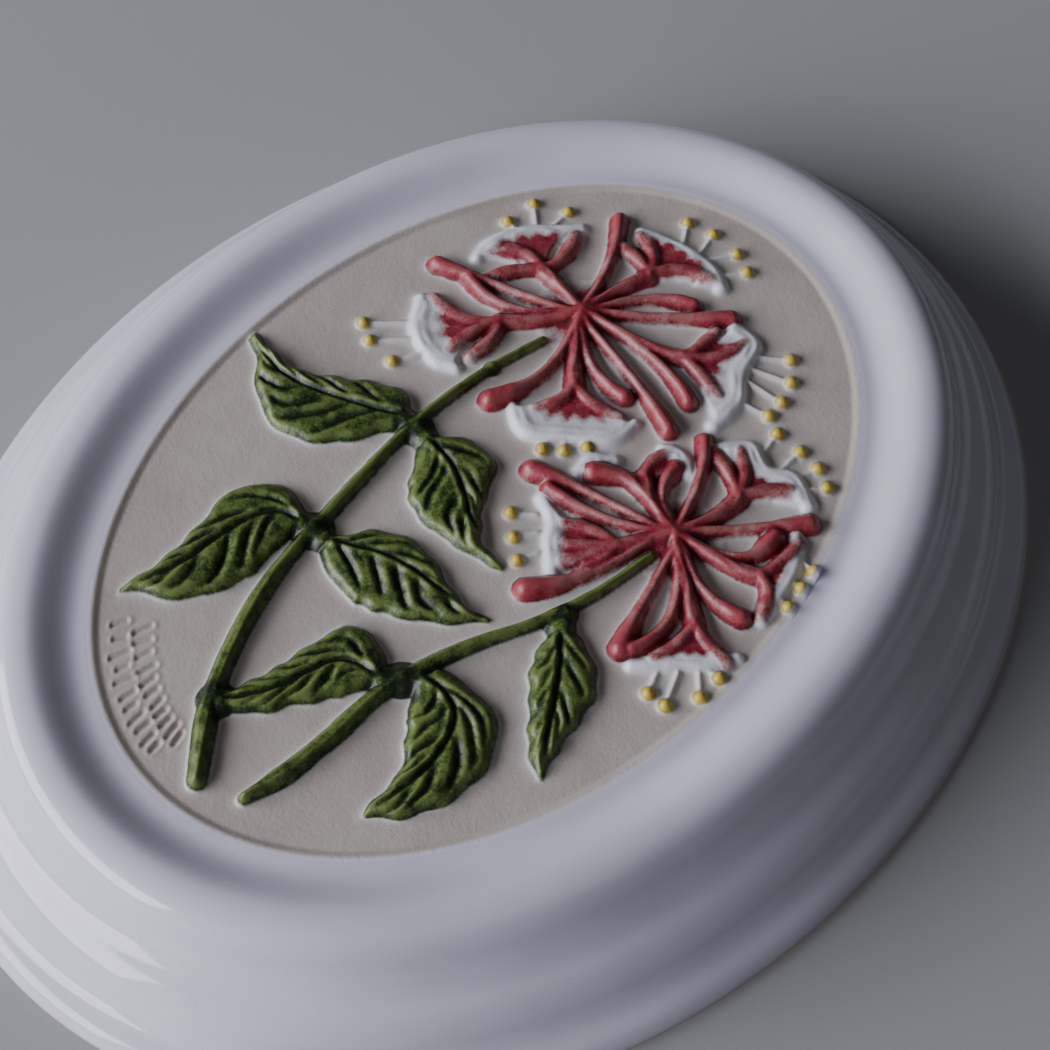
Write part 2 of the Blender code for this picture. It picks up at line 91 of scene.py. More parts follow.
# Relief: rises above the panel, and how forms melt into each other and into the panel
STEM_RISE = 2.5
NODE_RISE = 2.6
LEAF_RISE = 2.5
LEAF_EDGE_ROUND = 2.0
LEAF_EDGE_WAVE = 0.28
TUBE_RISE = 2.5
KNOB_RISE = 2.9
LOBE_RISE = 2.3
LIP_RISE = 1.35
LIP_ROLL = 0.35
LIP_ROUND_RISE = 1.75
LIP_ROUND_WIDTH = 3.4
HEART_RISE = 3.1
HEART_MOUND_RISE = 2.2
FILAMENT_RISE = 0.75
ANTHER_RISE = 1.75
STRAND_LUMPS = 0.12
LUMP_LENGTH = 5.5
FORM_MARGIN = 1.5
FOOT_SLOPE = 2.5
FOOT_SKIRT = 0.4
FOOT_REACH = 1.0
MELT = 0.5
GLAZE_EDGE = 0.4
SOFTENING = 0.3
HOLLOW_REACH = 0.8
NODE_SHADE = 0.3
HALO_STRENGTH = 2.2

STEM_FOOT_WIDTH = 4.8
STEM_TIP_WIDTH = 2.5
STEM_FOOT_SHARES = (0.85, 0.55)
STEM_STATIONS = 13
STEM_UNEVENNESS = 0.07
LEFT_STEM = ((1.5, -82), (-3, -76), (-8.2, -68.5), (-13.5, -56.5), (-17, -45), (-18.7, -35),
             (-19.4, -26), (-20.5, -12), (-21, -2), (-20.5, 10), (-18.6, 22), (-15, 35))
RIGHT_STEM = ((10.5, -79), (12.6, -71), (13.8, -60), (14.3, -50), (16, -41), (20.5, -29),
              (27, -16.5), (31.5, -4), (34, 8.5))
STEM_NODES = (((-7.4, -67.8), 4.1), ((-19.2, -29), 4.5), ((-20.2, 1.8), 4.1), ((15.6, -42.5), 4.1),
              ((-18.4, 23), 2.0), ((29.8, -12), 2.6))

# Leaves: the outline's upper or outer side and its lower or inner side, both from base to tip, and
# the midrib
LEAVES = {
    "upper_left": (
        ((-23, 4), (-26, 7), (-30, 7.2), (-35, 5), (-40, 2), (-45, -1), (-50, -2.8), (-55, -2),
         (-58.5, -1.2), (-61, -1.0)),
        ((-22.5, -1), (-25, -4.5), (-28, -9), (-32, -13), (-37, -15.5), (-42, -16), (-46, -15),
         (-50, -12.5), (-54, -9), (-57, -5.6), (-59.5, -4.2), (-61.4, -3.8)),
        ((-23, 2.5), (-30, -0.5), (-40, -4), (-48, -5.5), (-56, -4.2), (-61, -2.6))),
    "upper_right": (
        ((-17, 2.5), (-14, 5), (-10, 7), (-5, 7), (-1, 4.5), (1, -1), (4, -6), (8, -10),
         (14.5, -10.8)),
        ((-17, -1), (-15, -5), (-12, -10), (-8, -13), (-2, -14.2), (4, -14), (10, -13.5),
         (14.5, -12.4)),
        ((-17.5, 1.2), (-10, 0), (-4, -3), (3, -8), (9, -11), (14, -11.8))),
    "middle_left": (
        ((-21, -27), (-25, -25.5), (-30, -25), (-34.5, -27.5), (-37.5, -31), (-38, -36),
         (-37.2, -42), (-36.8, -50), (-37.5, -57), (-38.9, -63)),
        ((-20.5, -32), (-21, -37), (-21, -43), (-22, -48), (-24.5, -52.5), (-27, -56.5),
         (-30, -58.5), (-34, -60.5), (-38, -63)),
        ((-20.5, -29.5), (-26, -30), (-29.5, -34), (-31.5, -42), (-32.5, -50), (-35, -57),
         (-38, -62.5))),
    "middle_right": (
        ((-16, -28), (-13, -24), (-10, -20.5), (-5, -18.3), (0, -18), (5, -19.5), (10, -21.5),
         (15, -22.5), (20, -21.5)),
        ((-15.5, -31.5), (-15, -32.5), (-10, -34.5), (-5, -36), (0, -35.5), (5, -33.5), (10, -31),
         (15, -27.5), (20, -22.6)),
        ((-17, -29.5), (-10, -27), (-5, -24.8), (2, -23.6), (10, -23.7), (19, -22.2))),
    "lower_left": (
        ((13, -44), (10, -40.5), (6, -38.7), (3, -39), (-0.5, -41), (-2, -45), (-3, -50),
         (-4.2, -56), (-5.8, -61), (-8, -66)),
        ((13, -47), (11.5, -50), (8, -55), (4, -60), (1, -64.6), (-3.5, -67.8), (-7.5, -69.5)),
        ((13.5, -45.2), (8, -45.5), (4, -47.5), (2, -52), (0, -58), (-4, -64.5), (-7, -67.5))),
    "lower_right": (
        ((18, -38.5), (19, -36), (23, -35.5), (28, -35.3), (33, -36.5), (37, -40), (39.5, -45),
         (40, -50), (39, -56), (36.5, -61), (34.5, -64), (32, -66), (29.5, -68)),
        ((17.5, -42), (19.5, -44), (21, -47), (23.5, -50.5), (26.5, -54.5), (28, -58), (28, -64),
         (28.4, -68)),
        ((17.5, -40.3), (22, -39.5), (27, -41), (30, -45), (31.5, -52), (31, -59), (29, -67.5))),
    "outer_right": (
        ((31, -13.5), (35, -14), (39, -15.5), (43, -18.5), (45.5, -22.5), (46.5, -28), (47, -33),
         (48, -38), (48.6, -41.8)),
        ((30, -16), (30, -19), (31, -23), (33, -27), (36.5, -31), (40, -35.5), (43.5, -39.5),
         (47.6, -42)),
        ((30.5, -15), (35, -20), (39, -26), (43, -33), (48, -41.4))),
}
LEAF_EDGE_INSET = 0.1
LEAF_LOWEST = 0.4
LEAF_FALL = 0.2
LEAF_FALL_START = 0.3
LEAF_TIP_FALL = 0.45
LEAF_TIP_START = 0.75
VEINS_PER_SIDE = 5
VEINS_START = 0.01
VEINS_SPREAD = 0.78
VEIN_SLANT = 0.34
VEIN_CURVE = 1.15
VEIN_DEPTH_SHARE = 0.17
VEIN_HALF_WIDTH = 0.5
VEIN_VALLEY_SHARE = 0.25
VEIN_SWELLING = 0.2
MIDRIB_DEPTH = 0.9
MIDRIB_ASIDE = 0.15
MIDRIB_HALF_WIDTH = 0.42
MIDRIB_RIDGE = 0.45
MIDRIB_RIDGE_ASIDE = 0.95
MIDRIB_RIDGE_HALF_WIDTH = 0.6
MIDRIB_FADE = 0.15
STALK_WIDTH = 6.6
STALK_WIDTH_SHARES = (0.7, 0.9, 1, 0.6)
STALK_RISES = (2.4, 2.3, 2.4, 2.2)
STALK_REACH = 2.5

# Flower heads. Shares and strengths are spread evenly from the heart outward, and a strength says
# how thickly the glaze lies
TUBE_START_WIDTH = 3.1
TUBE_NECK_WIDTH = 3.0
KNOB_WIDTH = 4.6
THROAT_WIDTH = 4.8
LOBE_WIDTH = 4.2
HEART_RADIUS = 10.0
FILAMENT_WIDTH = 1.3
FILAMENT_STRENGTH = 0.28
ANTHER_RADIUS = 1.6
BUD_NECK_SHARES = (0.95, 0.95, 1, 1.05, 1.15)
BUD_RISE_SHARES = (1.05, 1, 0.95, 0.95, 1)
BUD_STRENGTHS = (1.0, 0.9, 0.66, 0.52, 0.52, 0.66, 0.95, 1.0)
LOBE_WIDTH_SHARES = (0.38, 0.40, 0.46, 0.52, 0.44)
LOBE_RISE_SHARES = (1, 0.97, 0.93, 0.85)
LOBE_STRENGTHS = (0.95, 0.86, 0.70, 0.55, 0.42)
TUBE_STRENGTHS = (1.0, 0.9, 0.8, 0.85)
HEART_RIM_STRENGTH = 0.15
MOUTH_OUTSET = 0.6
MOUTH_SHOULDER = 1.3
MOUTH_PULL = 0.3
MOUTH_RED = 0.8
LIP_END_SHARE = 0.85
LIP_ROLL_INSET = 1.2

LEFT_HEART = (-13.5, 45.5)
# Each bud is a start, a bend, an end and the size of its knob
LEFT_BUDS = (
    ((-15, 44), (-30, 40), (-44.5, 36.2), 1.05),
    ((-16, 43), (-26, 33.5), (-36.8, 37.4), 0.95),
    ((-14, 47), (-16, 60), (-23.2, 70), 0.95),
    ((-10.5, 48), (-1, 54), (10.6, 64.3), 1.05),
    ((-11, 49), (-6.5, 59), (2.8, 62), 0.95),
    ((-9.5, 46), (6, 47.5), (17, 42), 0.95),
    ((-10, 43.5), (6, 39.5), (18.2, 34), 1.0),
    ((-11, 42.5), (-3, 33.5), (6.6, 34.6), 0.95),
    ((-12.3, 42), (-6.5, 28), (-13.4, 17), 1.25),
)
# Each trumpet is a start, a bend and a throat, the lobes that part there, the lip beyond them, and
# how far towards the lip the crimson reaches
LEFT_TRUMPETS = (
    (((-13, 48), (-11.5, 57), (-9, 62)),
     (((-10.5, 68), (-17, 69.3)), ((-7, 69), (1, 69.5)), ((-13, 65), (-19, 64.5))),
     ((-18, 70.5), (-9, 72.5), (0, 72), (4, 69.5)), 0.68),
    (((-10.5, 46.2), (2, 46.5), (9, 50)),
     (((11, 53), (10.5, 59.5)), ((16, 53), (16.5, 61)), ((14, 49.5), (20.5, 47))),
     ((12.5, 63), (18.5, 62), (20.5, 54.5), (24.5, 48.5), (24, 41)), 0.44),
    (((-15.5, 46), (-22, 48.5), (-27, 49)),
     (((-24, 54), (-27.5, 60.5)), ((-33, 52), (-37.5, 47)), ((-31, 46), (-34, 41))),
     ((-28, 63), (-34.5, 57), (-39.5, 50), (-39.5, 43)), 0.62),
    (((-15.8, 42), (-21, 36), (-25, 33)),
     (((-30, 26.5), (-39, 29)), ((-28.5, 27), (-27.5, 20.5)), ((-22, 30), (-23.5, 22.5))),
     ((-41, 27.5), (-37, 21), (-30, 17.5), (-24, 18.5)), 0.48),
    (((-11.8, 42.2), (-7, 35), (-3, 30.5)),
     (((-1.5, 25.5), (-5, 21)), ((3, 28), (9, 30))),
     ((-9, 18.5), (-3, 15.5), (5, 20.5), (11, 25), (12, 31)), 0.44),
)
# Each filament runs from a lip to a pollen tip
LEFT_FILAMENTS = (
    ((-9, 73.5), (-12, 79)), ((-5, 74), (-6, 80)), ((-2.5, 74), (1, 79)), ((2, 72), (5.5, 76.5)),
    ((20, 60), (26, 64)), ((21, 57), (29.5, 59.5)), ((22, 54), (31, 54.3)), ((25, 49), (31, 50)),
    ((-33, 59), (-33, 65)), ((-35, 57), (-40, 62)), ((-37, 54), (-41, 54.8)),
    ((-38, 22), (-46, 15)), ((-35, 19), (-42, 12.5)), ((-31, 17.5), (-35, 11.5)),
    ((4, 22), (8.5, 20.5)), ((3, 20), (5.5, 17)), ((1, 19), (2, 14.5)),
)

RIGHT_HEART = (34.5, 15)
RIGHT_BUDS = (
    ((33.8, 17.5), (31, 30), (25.2, 36.6), 0.95),
    ((36.2, 17.5), (45, 26), (52.6, 34.2), 1.1),
    ((37, 16), (51, 17), (49.3, 27.2), 1.15),
    ((38, 13.5), (46, 6.5), (55.2, 8.9), 1.05),
    ((36.5, 12.5), (39, 1), (42.2, -11.2), 1.1),
    ((38, 11), (49.5, 0), (44, -10), 0.8),
    ((31, 14), (17, 13), (3.8, 9.3), 1.2),
    ((30, 12.5), (19, 7.5), (9.4, 7.8), 0.9),
    ((31.5, 15.5), (20, 22), (13.4, 16.6), 1.25),
    ((32, 11.5), (29, -4), (20.4, -12.5), 1.2),
    ((32, 17), (25, 20), (25, 27.6), 1.0),
)
RIGHT_TRUMPETS = (
    (((35.2, 17.5), (39, 25), (38.5, 30)),
     (((33, 35), (26.5, 35.5)), ((37, 36), (32, 39)), ((40, 34), (45, 38))),
     ((28.5, 37.5), (33, 41.5), (38.5, 38.8), (44, 41), (50, 37.5)), 0.5),
    (((32, 12.5), (30, 9.5), (27.8, 6.0)),
     (((22, 7), (16.8, 3.6)), ((24, 3), (20, 0)), ((24.5, 0.5), (22, -3.6)), ((27.5, 1), (26, -4))),
     ((9.5, 5.5), (14.5, 2.5), (17.5, -2), (22, -6.5)), 0.6),
    (((31.5, 15.5), (20, 22), (15.5, 18)), (),
     ((14.5, 21.5), (10.8, 18.5), (11.2, 13.5)), 0.42),
    (((37, 15.5), (47, 16), (52.5, 18.5)),
     (((54.5, 24), (53.5, 29)), ((57, 17), (58, 11.5))),
     ((52, 30.5), (55.2, 26.5), (57.2, 20.5), (58.4, 11)), 0.5),
    (((37.5, 12.5), (46, 5), (49.5, 2)),
     (((54, -0.5), (59, -0.5)), ((50.5, -3), (48.5, -9))),
     ((60, 1.5), (56.5, -3), (51, -8), (46, -12.5)), 0.6),
    (((31.5, 16), (25, 18.5), (21.5, 22)),
     (((20.5, 25), (21, 28.5)),),
     ((20, 30), (24, 31), (28, 28.5)), 0.5),
)
RIGHT_FILAMENTS = (
    ((35.5, 42), (35, 47.5)), ((40.5, 40), (41, 47)), ((44, 41), (46, 46)), ((47, 40), (50, 43.5)),
    ((55, 27), (59.5, 26)), ((56.5, 22), (59.7, 21.5)), ((57.5, 17), (60.3, 16.5)),
    ((11, 2), (7, -1)), ((14, -1), (11, -5)), ((17, -4.5), (15, -8.5)),
    ((55, -4), (60, -4)), ((56, -5), (59.8, -9.5)), ((50, -9), (52, -15)), ((53.5, -8), (56, -15)),
)

# Pressed strokes along the panel's lower left edge
STROKE_WIDTH = 0.9
STROKE_DEPTH = 0.36
STROKE_HEIGHT = 3.4
STROKE_ROWS = (3.4, 7.8)
STROKES_PER_ROW = 11
STROKE_ANGLES = (224.0, 260.0)
STROKE_LEAN = 16.0
STROKE_SEED = 31
STROKE_STRAY = 0.12
STROKE_INSET_STRAY = 0.3
STROKE_BURR = 0.16
STROKE_BURR_WIDTH = 0.35
STROKE_REACH = 1.0

# The photograph's camera, its elevation above the panel's plane. The view's own axes are X to the
# picture's right, Y away along the panel and Z out of its face, and the plaque is turned about Z
PHOTO_SIDE = 1050
PHOTO_FOCAL = 2400.0
PHOTO_CENTRE = (488.0, 499.0)
VIEW_ELEVATION = math.radians(56.07)
VIEW_ROLL = math.radians(0.085)
PLAQUE_TURN = math.radians(-40.64)
AIM = (0.2, 14.7)
AIM_DISTANCE = 496.0
SENSOR_WIDTH = 36.0

# Stage, in metres
WALL_GAP = 0.0004
STAGE_HALF = 4.0
FLOOR_HEIGHT = -3.6
WALL_COLOUR = (0.40, 0.405, 0.425)
FLOOR_COLOUR = (0.55, 0.55, 0.56)

# Lights: direction in the view's axes, distance and size in metres, power and colour
LIGHTS = {
    "window": ((-0.91, -0.18, 0.39), 2.2, (2.6, 1.1), 88.0, (0.93, 0.94, 1.0)),
    "fill": ((0.35, -0.75, 1.1), 1.4, (0.9, 0.9), 0.6, (1.0, 0.98, 0.96)),
    "behind": ((0.0, 0.05, -1.0), 1.2, (0.5, 0.5), 5.0, (1.0, 0.98, 0.96)),
}
ROOM_COLOUR = (0.93, 0.95, 1.0, 1.0)
ROOM_STRENGTH = 0.045

# Glaze fields of the relief, and a guard against division by zero
GLAZES = ("green", "crimson", "lip", "yellow")
TINY = 1e-6


def place(points):
    """World positions of (x, y, height) points given in millimetres on the panel."""
    x, y, height = np.moveaxis(np.asarray(points, dtype=float), -1, 0)
    return np.stack([x, -height, y - ORIGIN_ABOVE_CENTRE], axis=-1) * MM


def smooth(value):
    """Ease from 0 to 1."""
    value = np.clip(value, 0.0, 1.0)
    return value * value * (3 - 2 * value)


def bend(start, corner, end, steps):
    """Points of a curve that leaves start and reaches end along the lines to corner."""
    t = np.linspace(0, 1, steps + 1)[1:, None]
    start, corner, end = np.array([start, corner, end], dtype=float)
    return list((1 - t) ** 2 * start + 2 * t * (1 - t) * corner + t ** 2 * end)


def swell(start, end, steps):
    """Points of an S-shaped rise or fall that is level at both ends."""
    t = np.linspace(0, 1, steps + 1)[1:]
    share = np.stack([t, (1 - np.cos(np.pi * t)) / 2], axis=-1)
    return list(start + (np.array(end) - start) * share)


def from_outer_edge(spot):
    """Measure a profile point outward from the panel's edge, not inward from the border's."""
    return BORDER_WIDTH - spot[0], spot[1]


CREST = (CREST_AT, PANEL_FACE + CREST_RISE)
CREST_FOOT = (CREST_FOOT_AT, PANEL_FACE - CREST_FOOT_DROP)


def front_profile():
    """Cross-section of the border from the flat panel out to the back rim's outer edge."""
    edge = (STEP_START, PANEL_FACE)
    ledge_start = (LEDGE_START, PANEL_FACE + LEDGE_RISE)
    ledge_end = (LEDGE_END, PANEL_FACE + LEDGE_END_RISE)
    upper_start = from_outer_edge(UPPER_ROLL_START)
    upper_foot = from_outer_edge(UPPER_ROLL_FOOT)
    lower_start = from_outer_edge(LOWER_ROLL_START)
    points = [edge]
    points += swell(edge, ledge_start, 6) + swell(ledge_start, ledge_end, 6)
    points += swell(ledge_end, CREST, 14)
    points += bend(CREST, (CREST_CORNER, CREST[1]), CREST_FOOT, 14)
    points += bend(CREST_FOOT, from_outer_edge(UPPER_COVE_CORNER), upper_start, 10)
    points += bend(upper_start, from_outer_edge(UPPER_ROLL_CORNER), upper_foot, 10)
    points += bend(upper_foot, from_outer_edge(LOWER_COVE_CORNER), lower_start, 8)
    points += bend(lower_start, (BORDER_WIDTH, LOWER_ROLL_CORNER_HEIGHT), (BORDER_WIDTH, 0.0), 9)
    return np.array(points)


PROFILE = front_profile()


def base_height(outward):
    """Height above the back plane of the bare casting's front."""
    return np.interp(outward, PROFILE[:, 0], PROFILE[:, 1])


def waves(x, y, seed, wavelength):
    """Gentle unevenness between about -1 and 1, the same each run."""
    turn = np.random.default_rng(seed)
    total = np.zeros(np.broadcast(x, y).shape)
    for _ in range(WAVES_SUMMED):
        angle, phase = turn.uniform(0, 2 * np.pi), turn.uniform(0, 2 * np.pi)
        stretch = turn.uniform(0.7, 1.5)
        step = 2 * np.pi / (wavelength * stretch)
        total += np.sin(step * (x * np.cos(angle) + y * np.sin(angle)) + phase)
    return total / WAVES_SUMMED ** 0.5 / 1.5


def smooth_path(points, steps):
    """Evenly spaced points on a smooth curve through the given ones."""
    points = np.array(points, dtype=float)
    padded = np.vstack([points[:1], points, points[-1:]])
    path = [points[0]]
    for index in range(len(points) - 1):
        before, start, end, after = padded[index:index + 4]
        for t in np.linspace(0, 1, steps + 1)[1:]:
            squared = (2 * before - 5 * start + 4 * end - after) * t ** 2
            cubed = (3 * start - before - 3 * end + after) * t ** 3
            path.append(0.5 * (2 * start + (end - before) * t + squared + cubed))
    return np.array(path)


def bent_path(start, corner, end, steps=12):
    """Points of a simple bend, its start included."""
    return np.array([start] + bend(start, corner, end, steps))


class Relief:
    """Heights above the panel's face on a grid, and how much of each glaze lies there."""

    def __init__(self):
        self.columns = 2 * round(PANEL_HALF_WIDTH / CELL) + 1
        self.rows = 2 * round(PANEL_HALF_HEIGHT / CELL) + 1
        u, v = np.meshgrid(np.linspace(-1, 1, self.columns), np.linspace(-1, 1, self.rows))
        self.x = PANEL_HALF_WIDTH * u * np.sqrt(1 - v ** 2 / 2)
        self.y = PANEL_HALF_HEIGHT * v * np.sqrt(1 - u ** 2 / 2)
        reach = np.maximum(np.hypot(self.x / PANEL_HALF_WIDTH, self.y / PANEL_HALF_HEIGHT), TINY)
        slope = np.hypot(self.x / PANEL_HALF_WIDTH ** 2, self.y / PANEL_HALF_HEIGHT ** 2) / reach
        self.outward = (reach - 1) / np.maximum(slope, TINY)
        self.height = np.zeros_like(self.x)
        self.glaze = {name: np.zeros_like(self.x) for name in GLAZES}
        self.covered = np.zeros_like(self.x)

    def near(self, points, reach=0.0):
        """Grid points within reach of some points, and a margin more."""
        margin = reach + FORM_MARGIN
        low = points.min(axis=0) - margin
        high = points.max(axis=0) + margin
        inside = (self.x > low[0]) & (self.x < high[0]) & (self.y > low[1]) & (self.y < high[1])
        return np.nonzero(inside)

    def lay(self, where, rise, glazes):
        """Join one form to the relief, and its glazes where it comes out on top."""
        old = self.height[where]
        gap = np.clip(MELT - np.abs(rise - old), 0, None) / MELT
        self.height[where] = np.maximum(rise, old) + gap ** 2 * MELT / 4 * (rise > 0)
        on_top = smooth((rise - old) / GLAZE_EDGE + 0.4)
        for name, amount in self.glaze.items():
            amount[where] += (glazes.get(name, 0.0) - amount[where]) * on_top
        self.covered[where] = np.maximum(self.covered[where], smooth(rise / 0.3))

    def blurred(self, field, radius):
        """The field softened over a distance in millimetres."""
        reach = max(1, round(2.5 * radius / CELL))
        steps = np.arange(-reach, reach + 1) * CELL
        kernel = np.exp(-(steps / radius) ** 2 / 2)
        kernel /= kernel.sum()
        padded = np.pad(field, reach, mode="edge")
        weights = list(enumerate(kernel))
        across = sum(weight * padded[:, index:index + self.columns] for index, weight in weights)
        return sum(weight * across[index:index + self.rows] for index, weight in weights)


def offset_from(x, y, start, step):
    """For each point: the share of a step at which it lies nearest, and its offset from there."""
    away_x, away_y = x - start[0], y - start[1]
    t = np.clip((away_x * step[0] + away_y * step[1]) / max(step @ step, 1e-9), 0, 1)
    return t, away_x - t * step[0], away_y - t * step[1]


def follow(x, y, path):
    """For each point: distance to a path, share of the way along it, and which side it lies on."""
    lengths = np.hypot(*(path[1:] - path[:-1]).T)
    reached = np.concatenate([[0], np.cumsum(lengths)])
    best = np.full(x.shape, np.inf)
    along = np.zeros(x.shape)
    side = np.zeros(x.shape)
    for index, (start, end) in enumerate(zip(path[:-1], path[1:])):
        step = end - start
        t, away_x, away_y = offset_from(x, y, start, step)
        distance = np.hypot(away_x, away_y)
        closer = distance < best
        best = np.where(closer, distance, best)
        along = np.where(closer, (reached[index] + t * lengths[index]) / reached[-1], along)
        side = np.where(closer, np.sign(step[0] * away_y - step[1] * away_x), side)
    return best, along, side


def strand_rise(distance, radius, rise, fullness=2.1, draft=0.9):
    """Arched top of a strand, falling away outside it."""
    share = np.clip(distance / radius, 0, 1)
    arched = rise * (1 - share ** fullness) ** draft
    return np.where(distance < radius, arched, -(distance - radius) * FOOT_SLOPE)


def add_strand(relief, path, radii, rises, colour, strengths=(1.0,), flutes=0.0, **shape):
    """Raise a strand along a path. Radii, rises and strengths are spread evenly along it."""
    where = relief.near(path, max(radii))
    x, y = relief.x[where], relief.y[where]
    distance, along, side = follow(x, y, path)
    radius, rise, strength = (np.interp(along, np.linspace(0, 1, len(values)), values)
                              for values in (radii, rises, strengths))
    top = strand_rise(distance, radius, rise, **shape)
    seed = round(path[0, 0] * 7 + path[-1, 1] * 3) % 997
    top = top + STRAND_LUMPS * waves(x, y, seed, LUMP_LENGTH) * (distance < radius)
    if flutes:
        share = side * np.clip(distance / radius, 0, 1)
        top = top + flutes * np.cos(share * 8.0 + 2.5 * np.sin(along * 9.0)) * (distance < radius)
    relief.lay(where, top, {colour: strength})


def add_dome(relief, spot, radius, rise, colour, rim_strength=1.0, **shape):
    """Raise a round dome, its glaze thinning towards the rim if asked."""
    middle = np.array([spot], dtype=float)
    where = relief.near(middle, radius)
    distance = np.hypot(relief.x[where] - middle[0, 0], relief.y[where] - middle[0, 1])
    strength = 1 + (rim_strength - 1) * smooth(distance / radius)
    relief.lay(where, strand_rise(distance, radius, rise, **shape), {colour: strength})


def outline_distance(x, y, outline):
    """Distance inside a closed outline, negative outside it."""
    best = np.full(x.shape, np.inf)
    inside = np.zeros(x.shape, dtype=bool)
    for start, end in zip(outline, np.roll(outline, -1, axis=0)):
        step = end - start
        _, away_x, away_y = offset_from(x, y, start, step)
        best = np.minimum(best, np.hypot(away_x, away_y))
        if start[1] != end[1]:
            crossing = (start[1] > y) != (end[1] > y)
            inside ^= crossing & (x < step[0] * (y - start[1]) / step[1] + start[0])
    return np.where(inside, best, -best)


def gouge_veins(top, number, midrib, along, side, share, shoulder):
    """Cut slanting veins into both halves of a leaf, with a low swelling beside each."""
    turn = np.random.default_rng(100 + number)
    length = length_of(midrib)
    spacing = length * VEINS_SPREAD / VEINS_PER_SIDE
    for half in (-1, 1):
        for vein in range(VEINS_PER_SIDE):
            start = VEINS_START + VEINS_SPREAD * (vein + turn.uniform(0.25, 0.75)) / VEINS_PER_SIDE
            reach = np.interp(start, (0, 0.45, 0.8), (0.86, 0.9, 0.7)) * turn.uniform(0.85, 1.08)
            slant = VEIN_SLANT * turn.uniform(0.85, 1.15)
            drawn = (along - start - slant * share ** VEIN_CURVE) * length
            taper = np.sin(np.pi * np.clip((share - 0.08) / (reach - 0.08), 0, 1)) ** 0.6
            gouge = 0.5 * np.exp(-(drawn / VEIN_HALF_WIDTH) ** 2)
            gouge += 0.5 * np.exp(-(drawn / (VEIN_VALLEY_SHARE * spacing)) ** 2)
            beside = (np.abs(drawn) - 0.42 * spacing) / (0.16 * spacing)
            swelling = VEIN_SWELLING * taper * np.exp(-beside ** 2)
            cut = VEIN_DEPTH_SHARE * spacing * turn.uniform(0.6, 1.15) * taper * gouge
            top = top - np.where(side == half, cut - swelling, 0) * shoulder ** 0.5
    return top


def cut_midrib(top, aside, along, shoulder):
    """Cut a leaf's midrib, fading at the tip, with a ridge along one side of it."""
    groove = MIDRIB_DEPTH * np.exp(-((aside - MIDRIB_ASIDE) / MIDRIB_HALF_WIDTH) ** 2)
    ridge = MIDRIB_RIDGE * np.exp(-((aside + MIDRIB_RIDGE_ASIDE) / MIDRIB_RIDGE_HALF_WIDTH) ** 2)
    return top + (ridge - groove) * smooth((1 - along) / MIDRIB_FADE) * shoulder


def add_stalk(relief, midrib):
    """Raise the short stalk that joins a leaf to the nearest node of its stem."""
    base, beyond = np.array(midrib[:2], dtype=float)
    nodes = np.array([spot for spot, _ in STEM_NODES], dtype=float)
    node = nodes[np.argmin(np.hypot(*(nodes - base).T))]
    inward = beyond - base
    inward *= STALK_REACH / np.hypot(*inward)
    radii = [STALK_WIDTH / 2 * share for share in STALK_WIDTH_SHARES]
    add_strand(relief, bent_path(node, base, base + inward), radii, STALK_RISES, "green")


def add_leaf(relief, number, first_side, second_side, midrib):
    """Raise a leaf with a waved edge, a gouged midrib and veins, and the stalk it grows from."""
    outline = np.vstack([smooth_path(first_side, 4), smooth_path(second_side, 4)[::-1]])
    where = relief.near(outline)
    x, y = relief.x[where], relief.y[where]
    distance, along, side = follow(x, y, smooth_path(midrib, 4))
    edge_wave = LEAF_EDGE_WAVE * np.sin(along * 34 + 1.7 * number + 1.3 * side)
    depth = outline_distance(x, y, outline) + edge_wave - LEAF_EDGE_INSET
    inner = np.clip(depth, 0, None)
    share = distance / (distance + inner + TINY)
    shoulder = np.clip(inner / LEAF_EDGE_ROUND, 0, 1)
    fall = LEAF_FALL * smooth((share - LEAF_FALL_START) / (1 - LEAF_FALL_START))
    top = LEAF_RISE * (1 - (1 - shoulder) ** 2.2) ** 0.8 * (1 - fall)
    top -= LEAF_TIP_FALL * smooth((along - LEAF_TIP_START) / (1 - LEAF_TIP_START))
    top = gouge_veins(top, number, midrib, along, side, share, shoulder)
    top = cut_midrib(top, distance * side, along, shoulder)
    lowest = LEAF_LOWEST * np.minimum(1, depth * 3)
    top = np.where(depth > 0, np.maximum(top, lowest), depth * FOOT_SLOPE)
    relief.lay(where, top, {"green": 1.0})
    add_stalk(relief, midrib)


def length_of(points):
    """Length of a path through points."""
    points = np.array(points, dtype=float)
    return float(np.hypot(*(points[1:] - points[:-1]).T).sum())


def from_heart(heart, start, corner, end):
    """A bent path that sets out from the middle of its flower head."""
    return np.vstack([[heart], bent_path(start, corner, end)])


def add_bud(relief, heart, start, corner, end, knob):
    """A slender tube that ends in a rounded knob."""
    neck, swollen = TUBE_NECK_WIDTH / 2, KNOB_WIDTH * knob / 2
    necks = [neck * share for share in BUD_NECK_SHARES]
    radii = [TUBE_START_WIDTH / 2, *necks, swollen * 0.92, swollen]
    rises = [HEART_RISE, *(TUBE_RISE * share for share in BUD_RISE_SHARES), KNOB_RISE, KNOB_RISE]
    path = from_heart(heart, start, corner, end)
    add_strand(relief, path, radii, rises, "crimson", BUD_STRENGTHS)


def mouth_outline(lip, throat):
    """Outline of a flower's mouth: along the lip, then in to the throat and back out."""
    middle = lip.mean(axis=0)
    sides = []
    for end in (lip[-1], lip[0]):
        pulled = (end + throat) / 2 * (1 - MOUTH_PULL) + middle * MOUTH_PULL
        sides.append(bent_path(end, pulled, throat, 6)[1:])
    return np.vstack([lip, sides[0], sides[1][::-1][1:]])


